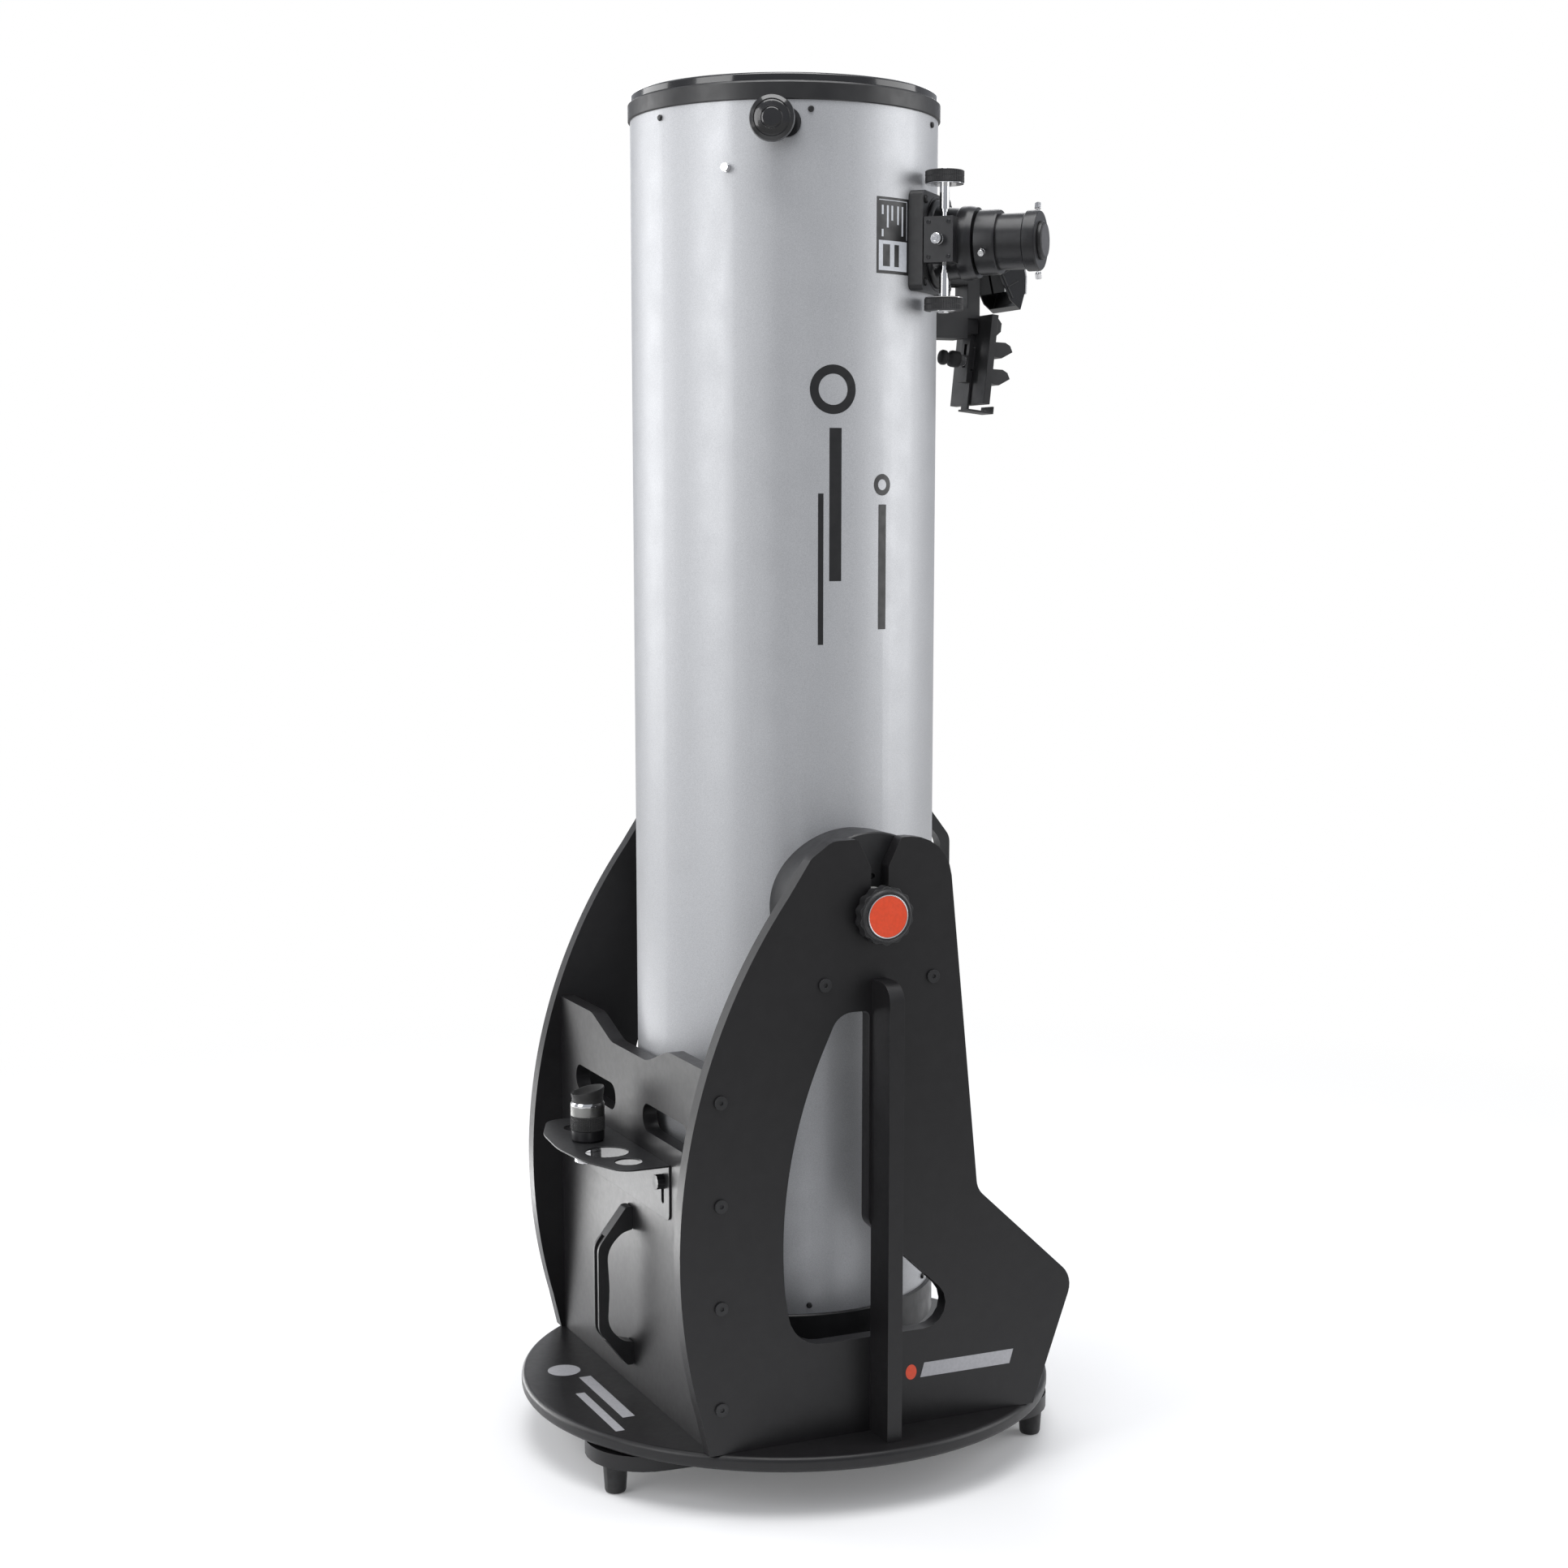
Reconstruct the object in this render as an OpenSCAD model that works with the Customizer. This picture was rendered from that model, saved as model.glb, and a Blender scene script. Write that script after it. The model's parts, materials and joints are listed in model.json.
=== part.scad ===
// Dobsonian telescope: a 12-inch Newtonian tube in a two-armed rocker base.
// Origin: where the azimuth axis meets the floor. +Z up, altitude axis along X,
// front board and eyepiece rack towards -Y, open side of the rocker towards +Y.

/* [Tube] */
// Outside diameter of the steel tube
tube_od = 356; // [350:1:360]
// Overall length of the tube with rings and dust cover
tube_len = 1442; // [1400:1:1500]
// Height of the altitude axis above the tube's lower end
alt_up_tube = 526; // [510:1:540]
// Clear aperture of the primary mirror
aperture = 304.8; // [280:0.1:306]
// Focal length of the primary mirror
focal_len = 1500; // [1450:10:1550]
// Height of the focuser axis above the tube's lower end
focuser_up = 1271; // [1240:1:1290]
// Angle of the focuser round the tube from the altitude axis
focuser_turn = 45; // [40:1:50]

/* [Rocker base] */
// Height of the altitude axis above the floor
alt_z = 675; // [660:1:700]
// Diameter of the turning round board
board_d = 650; // [640:1:670]
// Thickness of every board
board_t = 18; // [16:1:20]
// Thickness of the bearing hub between the tube and a side board
hub_t = 60; // [55:1:65]
// Diameter of the altitude bearing disc
disc_d = 180; // [170:1:190]
// Diameter of the bearing posts that carry the disc
post_d = 23; // [20:1:26]
// Half the distance between the two posts of one side
post_y = 67.7; // [60:0.1:75]

/* [Feet] */
// Height of a foot below the ground board
foot_h = 35; // [30:1:45]
// Distance of the feet from the azimuth axis
foot_reach = 306; // [290:1:308]
// Direction of the first foot
foot_turn = -64; // [-90:1:-30]

/* [Small parts] */
// Diameter of a tension knob
knob_d = 67; // [60:1:70]
// Inside diameter of the drawtube
draw_id = 50.8; // [50.8:0.1:52]
// Radius of the shaft that drives the drawtube by friction
focus_shaft_r = 3; // [2.5:0.1:3.5]

/* [Hidden] */
$fn = 64;

eps = 0.1;
fit = 0.05;

// Heights of the base
pad_gap = 3;
ground_top = foot_h + board_t;
round_bottom = ground_top + pad_gap;
base_top = round_bottom + board_t;

// Widths across the altitude axis
tube_r = tube_od / 2;
disc_r = disc_d / 2;
disc_face = tube_r + hub_t;
washer_t = 1.2;
inner_x = disc_face + washer_t + 0.3;
outer_x = inner_x + board_t;
post_r = post_d / 2;
post_len = 34;
post_reach = disc_r + post_r + fit;
post_z = alt_z - sqrt(post_reach * post_reach - post_y * post_y);
slot_r = 11;
bolt_r = 5;

// Front board and its fixings
front_y = -194;
front_face = front_y - board_t / 2;
front_top = 510;
front_screw_z = [for (k = [0:3]) 127 + 117 * k];
brace_screw_z = [330, 453, 575];
base_handle_z = [116, 284];
screw_r = 3.5;
screw_head_r = 7.6;
small_r = 2.5;
small_head_r = 4.5;

// Rack on the front board
shelf_z = 378;
sheet_t = 2;
rack_half = 132;
rack_knob_x = 112;
rack_knob_z = 355;
eyepiece_at = [-20, -248];
barrel_r = 15.85;

// Heights in the tube's own frame, whose zero is the tube's lower end
tube_z = alt_z - alt_up_tube;
wall = 1;
bore_r = tube_r - wall;
ring_floor = 8;
bottom_ring_h = 43.9;
top_ring_z = 1412.9;
top_rim_z = tube_len - 9;
ring_screw_z = [54, 1403];
ring_screw_a = [for (k = [0:5]) 60 * k - 15];
handle_feet = [440, 602];
handle_grip = 196;
handle_out = 44;
handle_hole = 14.5;
mirror_r = aperture / 2;
mirror_t = 32;
mirror_z = 31.2;
stud_reach = 125;
lock_reach = 92;
spider_z = 1342;
vane_h = 32;
hub_r = 22;
dock_screw_z = [1162, 1236];
disc_screw_a = [116, 221, 321];
disc_screw_reach = 64;
pointing_z = 1388;
pointing_turn = -28;

// Focuser, measured outwards from the tube's axis
saddle_out = 186;
body_out = 236;
draw_r = draw_id / 2 + 2.6;
shaft_out = 204;
shaft_side = -(draw_r + focus_shaft_r + fit);
collar_in = 238;
collar_out = 262;
adapter_out = 308;
focus_knob_z = 70;
focus_knob_h = 14;
base_half = 55;
base_hole = 45;

// Arms and faces of the phone dock, measured outwards from the tube
dock_y = tube_r;
tray_tilt = -6;
tray_half = 42;
knob_drop = 66;
stud_slot = 3.2;

/* ---------- outline helpers ---------- */
function unit(v) = v / norm(v);
function turn_of(v) = atan2(v.y, v.x);
function short_way(a) = a > 180 ? a - 360 : a < -180 ? a + 360 : a;

// One rounded corner b between neighbours a and c
function corner(a, b, c, r, n) =
    let (u = unit(a - b), w = unit(c - b), half = acos(u * w) / 2)
    let (centre = b + unit(u + w) * (r / sin(half)))
    let (first = turn_of(b + u * (r / tan(half)) - centre))
    let (sweep = short_way(turn_of(b + w * (r / tan(half)) - centre) - first))
    [for (k = [0:n]) centre + r * [cos(first + sweep * k / n), sin(first + sweep * k / n)]];

// A closed path of [x, y, radius] entries as plain points
function rounded(path, n = 6) =
    let (count = len(path))
    [for (i = [0:count - 1])
        let (p = path[i], a = path[(i + count - 1) % count], c = path[(i + 1) % count])
        each (p[2] == 0 ? [[p.x, p.y]]
              : corner([a.x, a.y], [p.x, p.y], [c.x, c.y], p[2], n))];

// Points of an arc that bulges towards -Y, between two heights
function bulge(centre, r, low, high, n) =
    [for (k = [0:n]) let (z = low + (high - low) * k / n)
        [centre.x - sqrt(r * r - (z - centre.y) * (z - centre.y)), z, 0]];

// Draw a (Y, Z) outline as a plate from x to x + t
module plate_x(x, t) {
    translate([x, 0, 0]) rotate([90, 0, 90]) linear_extrude(t) children();
}

// Draw an (X, Z) outline as a plate from y to y + t
module plate_y(y, t) {
    translate([0, y + t, 0]) rotate([90, 0, 0]) linear_extrude(t) children();
}

module rod_x(x, y, z, r, length) {
    translate([x, y, z]) rotate([0, 90, 0]) cylinder(r = r, h = length);
}

// A rod that starts at y and runs towards +Y
module rod_y(x, y, z, r, length) {
    translate([x, y, z]) rotate([-90, 0, 0]) cylinder(r = r, h = length);
}

module rod_z(x, y, z, r, length) {
    translate([x, y, z]) cylinder(r = r, h = length);
}

module both_sides() {
    children();
    mirror([1, 0, 0]) children();
}

module on_tube() {
    translate([0, 0, tube_z]) children();
}

// Focuser frame: X outwards, Y round the tube, Z up, zero on the tube's axis
module at_focuser() {
    on_tube() rotate([0, 0, focuser_turn]) translate([0, 0, focuser_up]) children();
}

// A ribbed round grip, built upwards from z = 0
module grip(r, h, lobes, depth) {
    steps = lobes * 6;
    linear_extrude(h)
        polygon([for (k = [0:steps - 1]) let (a = 360 * k / steps)
            (r - depth / 2 + depth / 2 * cos(a * lobes)) * [cos(a), sin(a)]]);
}

/* ---------- ground board ---------- */
module ground_outline() {
    corner_r = 72;
    reach = 325 + corner_r;
    polygon(rounded([for (k = [0:2]) let (a = foot_turn + 120 * k)
        [reach * cos(a), reach * sin(a), corner_r]], 12));
}

module ground_board() {
    color("#26262a")
    difference() {
        translate([0, 0, foot_h]) linear_extrude(board_t) ground_outline();
        rod_z(0, 0, 0, 6 + fit, 200);
        for (k = [0:2])
            rotate([0, 0, foot_turn + 120 * k]) rod_z(foot_reach, 0, foot_h - 1, 4 + fit, 13);
    }
}

module ground_feet() {
    color("#1b1b1d")
    for (k = [0:2])
        rotate([0, 0, foot_turn + 120 * k]) translate([foot_reach, 0, 0]) {
            rotate_extrude()
                polygon([[0, 0], [9, 0], [11.5, 1.2], [12.5, 4], [14.5, foot_h], [0, foot_h]]);
            rod_z(0, 0, foot_h - 1, 4, 12.5);
        }
}

module azimuth_pads() {
    color("#e8e8e4")
    for (k = [0:2])
        rotate([0, 0, foot_turn + 120 * k])
            rod_z(230, 0, ground_top, 20, pad_gap - fit);
}

module azimuth_bolt() {
    color("#8f9296") {
        translate([0, 0, foot_h - 8]) cylinder(r = 10.5, h = 8, $fn = 6);
        rod_z(0, 0, foot_h - 1, 6, base_top + 18 - foot_h);
    }
}

module azimuth_nut() {
    color("#b9bcc0")
    difference() {
        union() {
            rod_z(0, 0, base_top + 2.2, 18, 2);
            translate([0, 0, base_top + 4.1]) cylinder(r = 10.5, h = 10, $fn = 6);
        }
        rod_z(0, 0, base_top, 6 + fit, 30);
    }
}

/* ---------- rocker ---------- */
module azimuth_board() {
    rim = 6;
    edge = board_d / 2;
    low = round_bottom;
    top = base_top;
    color("#2b2a2e")
    rotate_extrude($fn = 180)
        polygon(concat([[10 + fit, low], [edge - rim, low]],
            [for (k = [1:4]) [edge - rim + rim * sin(22.5 * k), low + rim - rim * cos(22.5 * k)]],
            [for (k = [0:3]) [edge - rim + rim * cos(22.5 * k), top - rim + rim * sin(22.5 * k)]],
            [[edge - rim, top], [10 + fit, top]]));
}

module azimuth_bushing() {
    color("#d8d8d2")
    rotate_extrude()
        polygon([[6 + fit, round_bottom], [10, round_bottom], [10, base_top + eps],
                 [16, base_top + eps], [16, base_top + 2], [6 + fit, base_top + 2]]);
}

// Outline of a side board in (Y, Z)
function side_path() = concat(
    [[-208, base_top, 0]],
    bulge([433, 300], 676, 120, 700, 40),
    [[-84, 742, 20], [-58, 760, 24], [-27, 760, 5], [-slot_r, 728, 8],
     [-slot_r, alt_z, 0], [slot_r, alt_z, 0],
     [slot_r, 728, 8], [27, 760, 5], [86, 760, 52], [128.7, 344, 26],
     [259.4, 222.4, 30], [207, base_top, 0]]);

function window_path() = concat(
    [[-12, 320, 18], [131, 186, 28], [-106, 186, 44]],
    bulge([423, 300], 541, 250, 530, 24),
    [[-50, 566, 26], [-12, 566, 7]]);

module at_front_screws() {
    for (z = front_screw_z) translate([outer_x, front_y, z]) rotate([0, 90, 0]) children();
}

module at_post_screws() {
    for (s = [-1, 1]) translate([outer_x, s * post_y, post_z]) rotate([0, 90, 0]) children();
}

module at_brace_screws() {
    for (z = brace_screw_z) translate([inner_x, 0, z]) rotate([0, -90, 0]) children();
}

module screw_hole(length, r) {
    translate([0, 0, -length]) cylinder(r = r + fit, h = length + 1);
}

module side_board() {
    color("#29282b")
    difference() {
        plate_x(inner_x, board_t) polygon(rounded(side_path()));
        plate_x(inner_x - 1, board_t + 2) polygon(rounded(window_path()));
        rod_x(inner_x - 1, 0, alt_z, slot_r, board_t + 2);
        at_front_screws() screw_hole(board_t + 1, screw_r);
        at_post_screws() screw_hole(board_t + 1, screw_r);
        at_brace_screws() screw_hole(board_t + 1, screw_r);
    }
}

module right_side_board() {
    side_board();
}

module left_side_board() {
    mirror([1, 0, 0]) side_board();
}

// Outline of the front board in (X, Z), with a hollow in the top edge for the tube
function front_path() =
    let (half = inner_x - eps, low = base_top + eps)
    [[-half, low, 0], [half, low, 0], [half, front_top, 0], [126, front_top, 40],
     [58, front_top - 24, 50], [-58, front_top - 24, 50], [-126, front_top, 40],
     [-half, front_top, 0]];

function hand_slot(x) = [[x - 70, 402, 16], [x + 70, 402, 16], [x + 70, 435, 16], [x - 70, 435, 16]];

module front_board() {
    color("#29282b")
    difference() {
        plate_y(front_face, board_t) polygon(rounded(front_path(), 8));
        for (x = [-115, 115])
            plate_y(front_face - 1, board_t + 2) polygon(rounded(hand_slot(x)));
        both_sides() at_front_screws() screw_hole(62, screw_r);
        for (z = base_handle_z) rod_y(0, front_face - 1, z, small_r + fit, board_t + 2);
        for (s = [-1, 1])
            rod_y(s * rack_knob_x, front_face - 1, rack_knob_z, small_r + fit, board_t + 2);
    }
}

module side_braces() {
    depth = 45;
    color("#29282b")
    both_sides() difference() {
        translate([outer_x + eps, board_t / 2, base_top + eps]) rotate([90, 0, 0])
            linear_extrude(board_t)
                polygon(rounded([[0, 0, 0], [depth, 0, 0], [depth, 528, 22], [0, 528, 3]]));
        at_brace_screws() translate([0, 0, -60]) cylinder(r = screw_r + fit, h = 60);
    }
}

module furniture_screw(length) {
    difference() {
        union() {
            translate([0, 0, eps]) cylinder(r = screw_head_r, h = 2.6);
            translate([0, 0, -length]) cylinder(r = screw_r, h = length + 1);
        }
        translate([0, 0, 1]) cylinder(r = 2.9, h = 5, $fn = 6);
    }
}

module base_screws() {
    color("#3a3a3e") {
        both_sides() {
            at_front_screws() furniture_screw(58);
            at_post_screws() furniture_screw(board_t + post_len / 2);
            at_brace_screws() furniture_screw(50);
        }
        for (z = base_handle_z) {
            rod_y(0, front_face - 14, z, small_r, board_t + 14.5);
            translate([0, front_face + board_t, z]) rotate([-90, 0, 0]) pan_head(small_head_r, 2);
        }
    }
}

module bearing_posts() {
    color("#1c1c1e")
    both_sides() for (s = [-1, 1]) difference() {
        translate([inner_x - post_len, s * post_y, post_z]) rotate([0, 90, 0])
            rotate_extrude()
                polygon([[0, 0], [post_r - 1.2, 0], [post_r, 1.2], [post_r, post_len - eps],
                         [0, post_len - eps]]);
        rod_x(inner_x - post_len / 2 - 1, s * post_y, post_z, screw_r + fit, post_len);
    }
}

/* ---------- handles ---------- */
// Side outline of a pull handle: feet on y = 0, grip swollen in the middle for the fingers
function handle_path() =
    let (h = handle_grip / 2, y = handle_out)
    [[-h, 0, 2], [28 - h, 0, 2], [31 - h, 14, 24], [50 - h, y - 11.3, 32], [0, y - 14, 90],
     [h - 50, y - 11.3, 32], [h - 31, 14, 24], [h - 28, 0, 2], [h, 0, 2], [h, 8, 5],
     [h - 46, y, 22], [46 - h, y, 22], [-h, 8, 5]];

// Side outline of the groove cut along the outside of the grip
function handle_groove() =
    let (h = handle_grip / 2, y = handle_out)
    [[36 - h, y - 13, 1], [48 - h, y - 4, 18], [h - 48, y - 4, 18], [h - 36, y - 13, 1],
     [h - 18, y + 9, 0], [18 - h, y + 9, 0]];

module handle_bar(hole_gap) {
    width = 18;
    groove = 10;
    difference() {
        translate([0, 0, -width / 2]) linear_extrude(width) polygon(rounded(handle_path()));
        translate([0, 0, -groove / 2]) linear_extrude(groove) polygon(rounded(handle_groove()));
        for (s = [-1, 1])
            rod_y(s * hole_gap / 2, -1, 0, small_r + fit, handle_hole + 1);
    }
}

module base_handle() {
    mid = (base_handle_z[0] + base_handle_z[1]) / 2;
    color("#1a1a1c")
    translate([0, front_face - eps, mid]) rotate([0, 0, 180]) rotate([0, 90, 0])
        handle_bar(base_handle_z[1] - base_handle_z[0]);
}

module tube_handle() {
    mid = (handle_feet[0] + handle_feet[1]) / 2;
    color("#1a1a1c")
    difference() {
        on_tube() translate([0, tube_r - 0.5, mid]) rotate([0, 90, 0])
            handle_bar(handle_feet[1] - handle_feet[0]);
        rod_z(0, 0, 0, tube_r + fit, 3000, $fn = 180);
    }
}

/* ---------- eyepiece rack ---------- */
module eyepiece_rack() {
    back = front_face - eps;
    hang = 66;
    color("#232326")
    difference() {
        union() {
            translate([0, 0, shelf_z - sheet_t]) linear_extrude(sheet_t)
                polygon(rounded([[-rack_half, back, 0], [-rack_half, back - 58, 24],
                    [-70, back - 84, 90], [0, back - 91, 160], [70, back - 84, 90],
                    [rack_half, back - 58, 24], [rack_half, back, 0]]));
            plate_y(back - sheet_t, sheet_t)
                polygon(rounded([[-rack_half, shelf_z - hang, 8], [rack_half, shelf_z - hang, 8],
                    [rack_half, shelf_z, 0], [-rack_half, shelf_z, 0]]));
        }
        rod_z(eyepiece_at.x, eyepiece_at.y, shelf_z - 5, barrel_r + fit, 10);
        rod_z(42, -247, shelf_z - 5, 25.6, 10);
        rod_z(94, -240, shelf_z - 5, barrel_r + fit, 10);
        rod_z(-82, -240, shelf_z - 5, barrel_r + fit, 10);
        for (s = [-1, 1]) {
            rod_y(s * rack_knob_x, back - 5, rack_knob_z, small_r + fit, 10);
            plate_y(back - 5, 10)
                polygon(rounded([for (p = [[-4, -22], [4, -22], [4, 0], [-4, 0]])
                    [s * rack_knob_x + p.x, rack_knob_z - 4 + p.y, 3.5]]));
        }
    }
}

module rack_knobs() {
    color("#1b1b1d")
    for (s = [-1, 1]) {
        translate([s * rack_knob_x, front_face - eps - sheet_t - eps, rack_knob_z])
            rotate([90, 0, 0]) grip(9, 9, 12, 1);
        rod_y(s * rack_knob_x, front_face - 4, rack_knob_z, small_r, board_t);
    }
}

module eyepiece() {
    color("#222225")
    translate([eyepiece_at.x, eyepiece_at.y, shelf_z]) {
        rotate_extrude()
            polygon([[13, -26], [barrel_r - 1, -26], [barrel_r, -25], [barrel_r, eps], [19, eps],
                     [20.5, 2], [20.5, 40], [19.5, 42], [19.5, 49], [13, 49]]);
        rod_z(0, 0, 20, 13.1, 5);
    }
}

module eyecup() {
    color("#141415")
    translate([eyepiece_at.x, eyepiece_at.y, shelf_z])
        rotate_extrude()
            polygon([[13, 49 + eps], [20, 49 + eps], [20.8, 52], [20.8, 64], [18.5, 66],
                     [17, 60], [13, 56]]);
}

/* ---------- tube, rings and dust cover ---------- */
module at_ring_screws() {
    for (z = ring_screw_z, a = ring_screw_a)
        rotate([0, 0, a]) translate([tube_r, 0, z]) rotate([0, 90, 0]) children();
}

module at_handle_screws() {
    for (z = handle_feet) translate([0, bore_r, z]) rotate([90, 0, 0]) children();
}

module at_saddle_screws() {
    rotate([0, 0, focuser_turn])
        for (s = [-1, 1], u = [-1, 1])
            translate([saddle_out, s * base_hole, focuser_up + u * base_hole])
                rotate([0, 90, 0]) children();
}

module at_dock_screws() {
    for (z = dock_screw_z) translate([0, dock_y + 8, z]) rotate([-90, 0, 0]) children();
}

module at_bearing_screws() {
    both_sides() for (a = disc_screw_a)
        translate([disc_face, disc_screw_reach * cos(a), alt_up_tube + disc_screw_reach * sin(a)])
            rotate([0, 90, 0]) children();
}

// The shanks that pass through the tube's wall, grown by a clearance
module tube_shanks(gap) {
    at_ring_screws() translate([0, 0, -7]) cylinder(r = small_r + gap, h = 8);
    at_handle_screws() translate([0, 0, -12]) cylinder(r = small_r + gap, h = 13);
    at_saddle_screws() translate([0, 0, -34]) cylinder(r = small_r + gap, h = 35);
    at_dock_screws() translate([0, 0, -18]) cylinder(r = small_r + gap, h = 19);
}

module bearing_shanks(gap) {
    at_bearing_screws() translate([0, 0, -84]) cylinder(r = screw_r + gap, h = 80);
}

module tube_shell() {
    color("#c9ccd1")
    on_tube() difference() {
        rod_z(0, 0, ring_floor + fit, tube_r, 1428 - ring_floor, $fn = 240);
        rod_z(0, 0, 0, bore_r, 1500, $fn = 240);
        tube_shanks(fit);
        bearing_shanks(fit);
        rotate([0, 0, focuser_turn]) {
            rod_x(100, 0, focuser_up, draw_r + 4, 120);
            for (k = [0:3]) rotate([0, 0, 90 * k]) rod_x(100, 0, spider_z, small_r + fit, 120);
        }
        rotate([0, 0, pointing_turn]) rod_x(100, 0, pointing_z, small_r + fit, 120);
    }
}

module bottom_ring() {
    outer = tube_r + 4.35;
    skirt = bore_r - 0.2;
    color("#1d1d1f")
    on_tube() difference() {
        rotate_extrude($fn = 240)
            polygon([[160, 0], [outer - 1.5, 0], [outer, 1.5], [outer, bottom_ring_h - 1.5],
                     [outer - 1.5, bottom_ring_h], [tube_r + fit, bottom_ring_h],
                     [tube_r + fit, ring_floor], [skirt, ring_floor], [skirt, 64],
                     [skirt - 4, 64], [skirt - 4, ring_floor], [160, ring_floor]]);
        tube_shanks(fit);
    }
}

module top_ring() {
    outer = tube_r + 2.5;
    skirt = bore_r - 0.2;
    color("#1d1d1f")
    on_tube() difference() {
        rotate_extrude($fn = 240)
            polygon([[skirt - 4, 1392], [skirt, 1392], [skirt, 1428.2], [tube_r + fit, 1428.2],
                     [tube_r + fit, top_ring_z], [outer - 1, top_ring_z], [outer, top_ring_z + 1],
                     [outer, top_rim_z - 2], [outer - 2, top_rim_z], [skirt - 4, top_rim_z]]);
        tube_shanks(fit);
    }
}

module pan_head(r, h) {
    rotate_extrude() polygon([[0, 0], [r, 0], [r, h * 0.5], [r * 0.7, h], [0, h]]);
}

module tube_screws() {
    color("#202022")
    on_tube() {
        tube_shanks(0);
        at_ring_screws() translate([0, 0, 0.4]) pan_head(3.4, 2.4);
        at_handle_screws() translate([0, 0, 0.1]) pan_head(small_head_r, 3);
        at_saddle_screws() translate([0, 0, 0.1]) pan_head(small_head_r, 3);
        at_dock_screws() translate([0, 0, 0.1]) pan_head(small_head_r, 3);
    }
}

module dust_cover() {
    color("#101012")
    on_tube() rotate_extrude($fn = 240)
        polygon([[0, top_rim_z + 1], [60, top_rim_z + 1], [64, top_rim_z - 3], [150, top_rim_z - 3],
                 [158, top_rim_z + eps], [167, top_rim_z + eps], [169, 1418], [171.8, 1418],
                 [171.8, top_rim_z + eps], [177.3, top_rim_z + eps], [177.3, tube_len - 2],
                 [175, tube_len], [160, tube_len], [151, tube_len - 5], [65, tube_len - 5],
                 [60, tube_len - 2], [0, tube_len - 2]]);
}

/* ---------- primary mirror and its cell ---------- */
module cell_frame() {
    arm_w = 34;
    arm_end = 167;
    color("#3b3d41")
    on_tube() difference() {
        translate([0, 0, ring_floor + fit]) linear_extrude(7.5)
            polygon(rounded([for (k = [0:2]) let (a = 90 + 120 * k)
                each [[arm_end * cos(a) + arm_w / 2 * sin(a), arm_end * sin(a) - arm_w / 2 * cos(a), 6],
                      [arm_end * cos(a) - arm_w / 2 * sin(a), arm_end * sin(a) + arm_w / 2 * cos(a), 6],
                      [50 * cos(a + 60), 50 * sin(a + 60), 30]]]));
        rod_z(0, 0, 0, 22, 40);
        for (k = [0:2]) rotate([0, 0, 90 + 120 * k]) {
            rod_z(stud_reach, 0, 0, 4 + fit, 40);
            rod_z(lock_reach, 0, 0, 3 + fit, 40);
        }
    }
}

module mirror_plate() {
    color("#54575c")
    on_tube() difference() {
        rod_z(0, 0, mirror_z - 7, 148, 6.9, $fn = 120);
        rod_z(0, 0, 0, 30, 60);
        for (k = [0:2]) rotate([0, 0, 90 + 120 * k]) rod_z(stud_reach, 0, 0, 4 + fit, 60);
    }
}

module primary_mirror() {
    steps = 10;
    top = mirror_z + mirror_t;
    edge_sag = mirror_r * mirror_r / (4 * focal_len);
    color("#dfe6ee")
    on_tube() rotate_extrude($fn = 180)
        polygon(concat([[0, mirror_z], [mirror_r, mirror_z]],
            [for (k = [steps:-1:0]) let (r = mirror_r * k / steps)
                [r, top - edge_sag + r * r / (4 * focal_len)]]));
}

module mirror_clips() {
    color("#17171a")
    on_tube() for (k = [0:2]) rotate([0, 0, 30 + 120 * k])
        rotate([90, 0, 0]) translate([0, 0, -11]) linear_extrude(22)
            polygon([[mirror_r + 0.2, mirror_z], [mirror_r + 5, mirror_z], [mirror_r + 5, 69],
                     [mirror_r - 6, 69], [mirror_r - 6, 66], [mirror_r + 0.2, 66]]);
}

// Points of a coil of round wire, ring by ring
function coil_points(coil_r, wire_r, low, high, turns, per_turn, sides) =
    [for (i = [0:turns * per_turn], j = [0:sides - 1])
        let (a = 360 * i / per_turn, b = 360 * j / sides,
             out = coil_r + wire_r * cos(b),
             up = low + wire_r + (high - low - 2 * wire_r) * i / (turns * per_turn))
        [out * cos(a), out * sin(a), up + wire_r * sin(b)]];

module coil(coil_r, wire_r, low, high, turns) {
    per_turn = 12;
    sides = 6;
    rings = turns * per_turn;
    sides_faces = [for (i = [0:rings - 1], j = [0:sides - 1])
        let (n = (j + 1) % sides)
        [i * sides + j, i * sides + n, (i + 1) * sides + n, (i + 1) * sides + j]];
    polyhedron(points = coil_points(coil_r, wire_r, low, high, turns, per_turn, sides),
        faces = concat([[for (j = [sides - 1:-1:0]) j]], sides_faces,
                       [[for (j = [0:sides - 1]) rings * sides + j]]));
}

module collimation_springs() {
    color("#b9bcc0")
    on_tube() for (k = [0:2]) rotate([0, 0, 90 + 120 * k]) translate([stud_reach, 0, 0])
        coil(7, 0.9, ring_floor + 7.7, mirror_z - 7.1, 3);
}

module lock_screws() {
    color("#1b1b1d")
    on_tube() for (k = [0:2]) rotate([0, 0, 90 + 120 * k]) translate([lock_reach, 0, 0]) {
        translate([0, 0, 0.8]) grip(8, 6.4, 10, 1);
        rod_z(0, 0, 7, 3, mirror_z - 7.1 - 7);
    }
}

module collimation_knob(k) {
    color("#1b1b1d")
    on_tube() rotate([0, 0, 90 + 120 * k]) translate([stud_reach, 0, 0]) {
        translate([0, 0, 0.8]) grip(14, 6.4, 12, 1.6);
        rod_z(0, 0, 7, 4, 23);
    }
}

module collimation_knob_a() {
    collimation_knob(0);
}

module collimation_knob_b() {
    collimation_knob(1);
}

module collimation_knob_c() {
    collimation_knob(2);
}

/* ---------- spider and secondary mirror ---------- */
module on_spider() {
    on_tube() rotate([0, 0, focuser_turn]) translate([0, 0, spider_z]) children();
}

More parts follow.
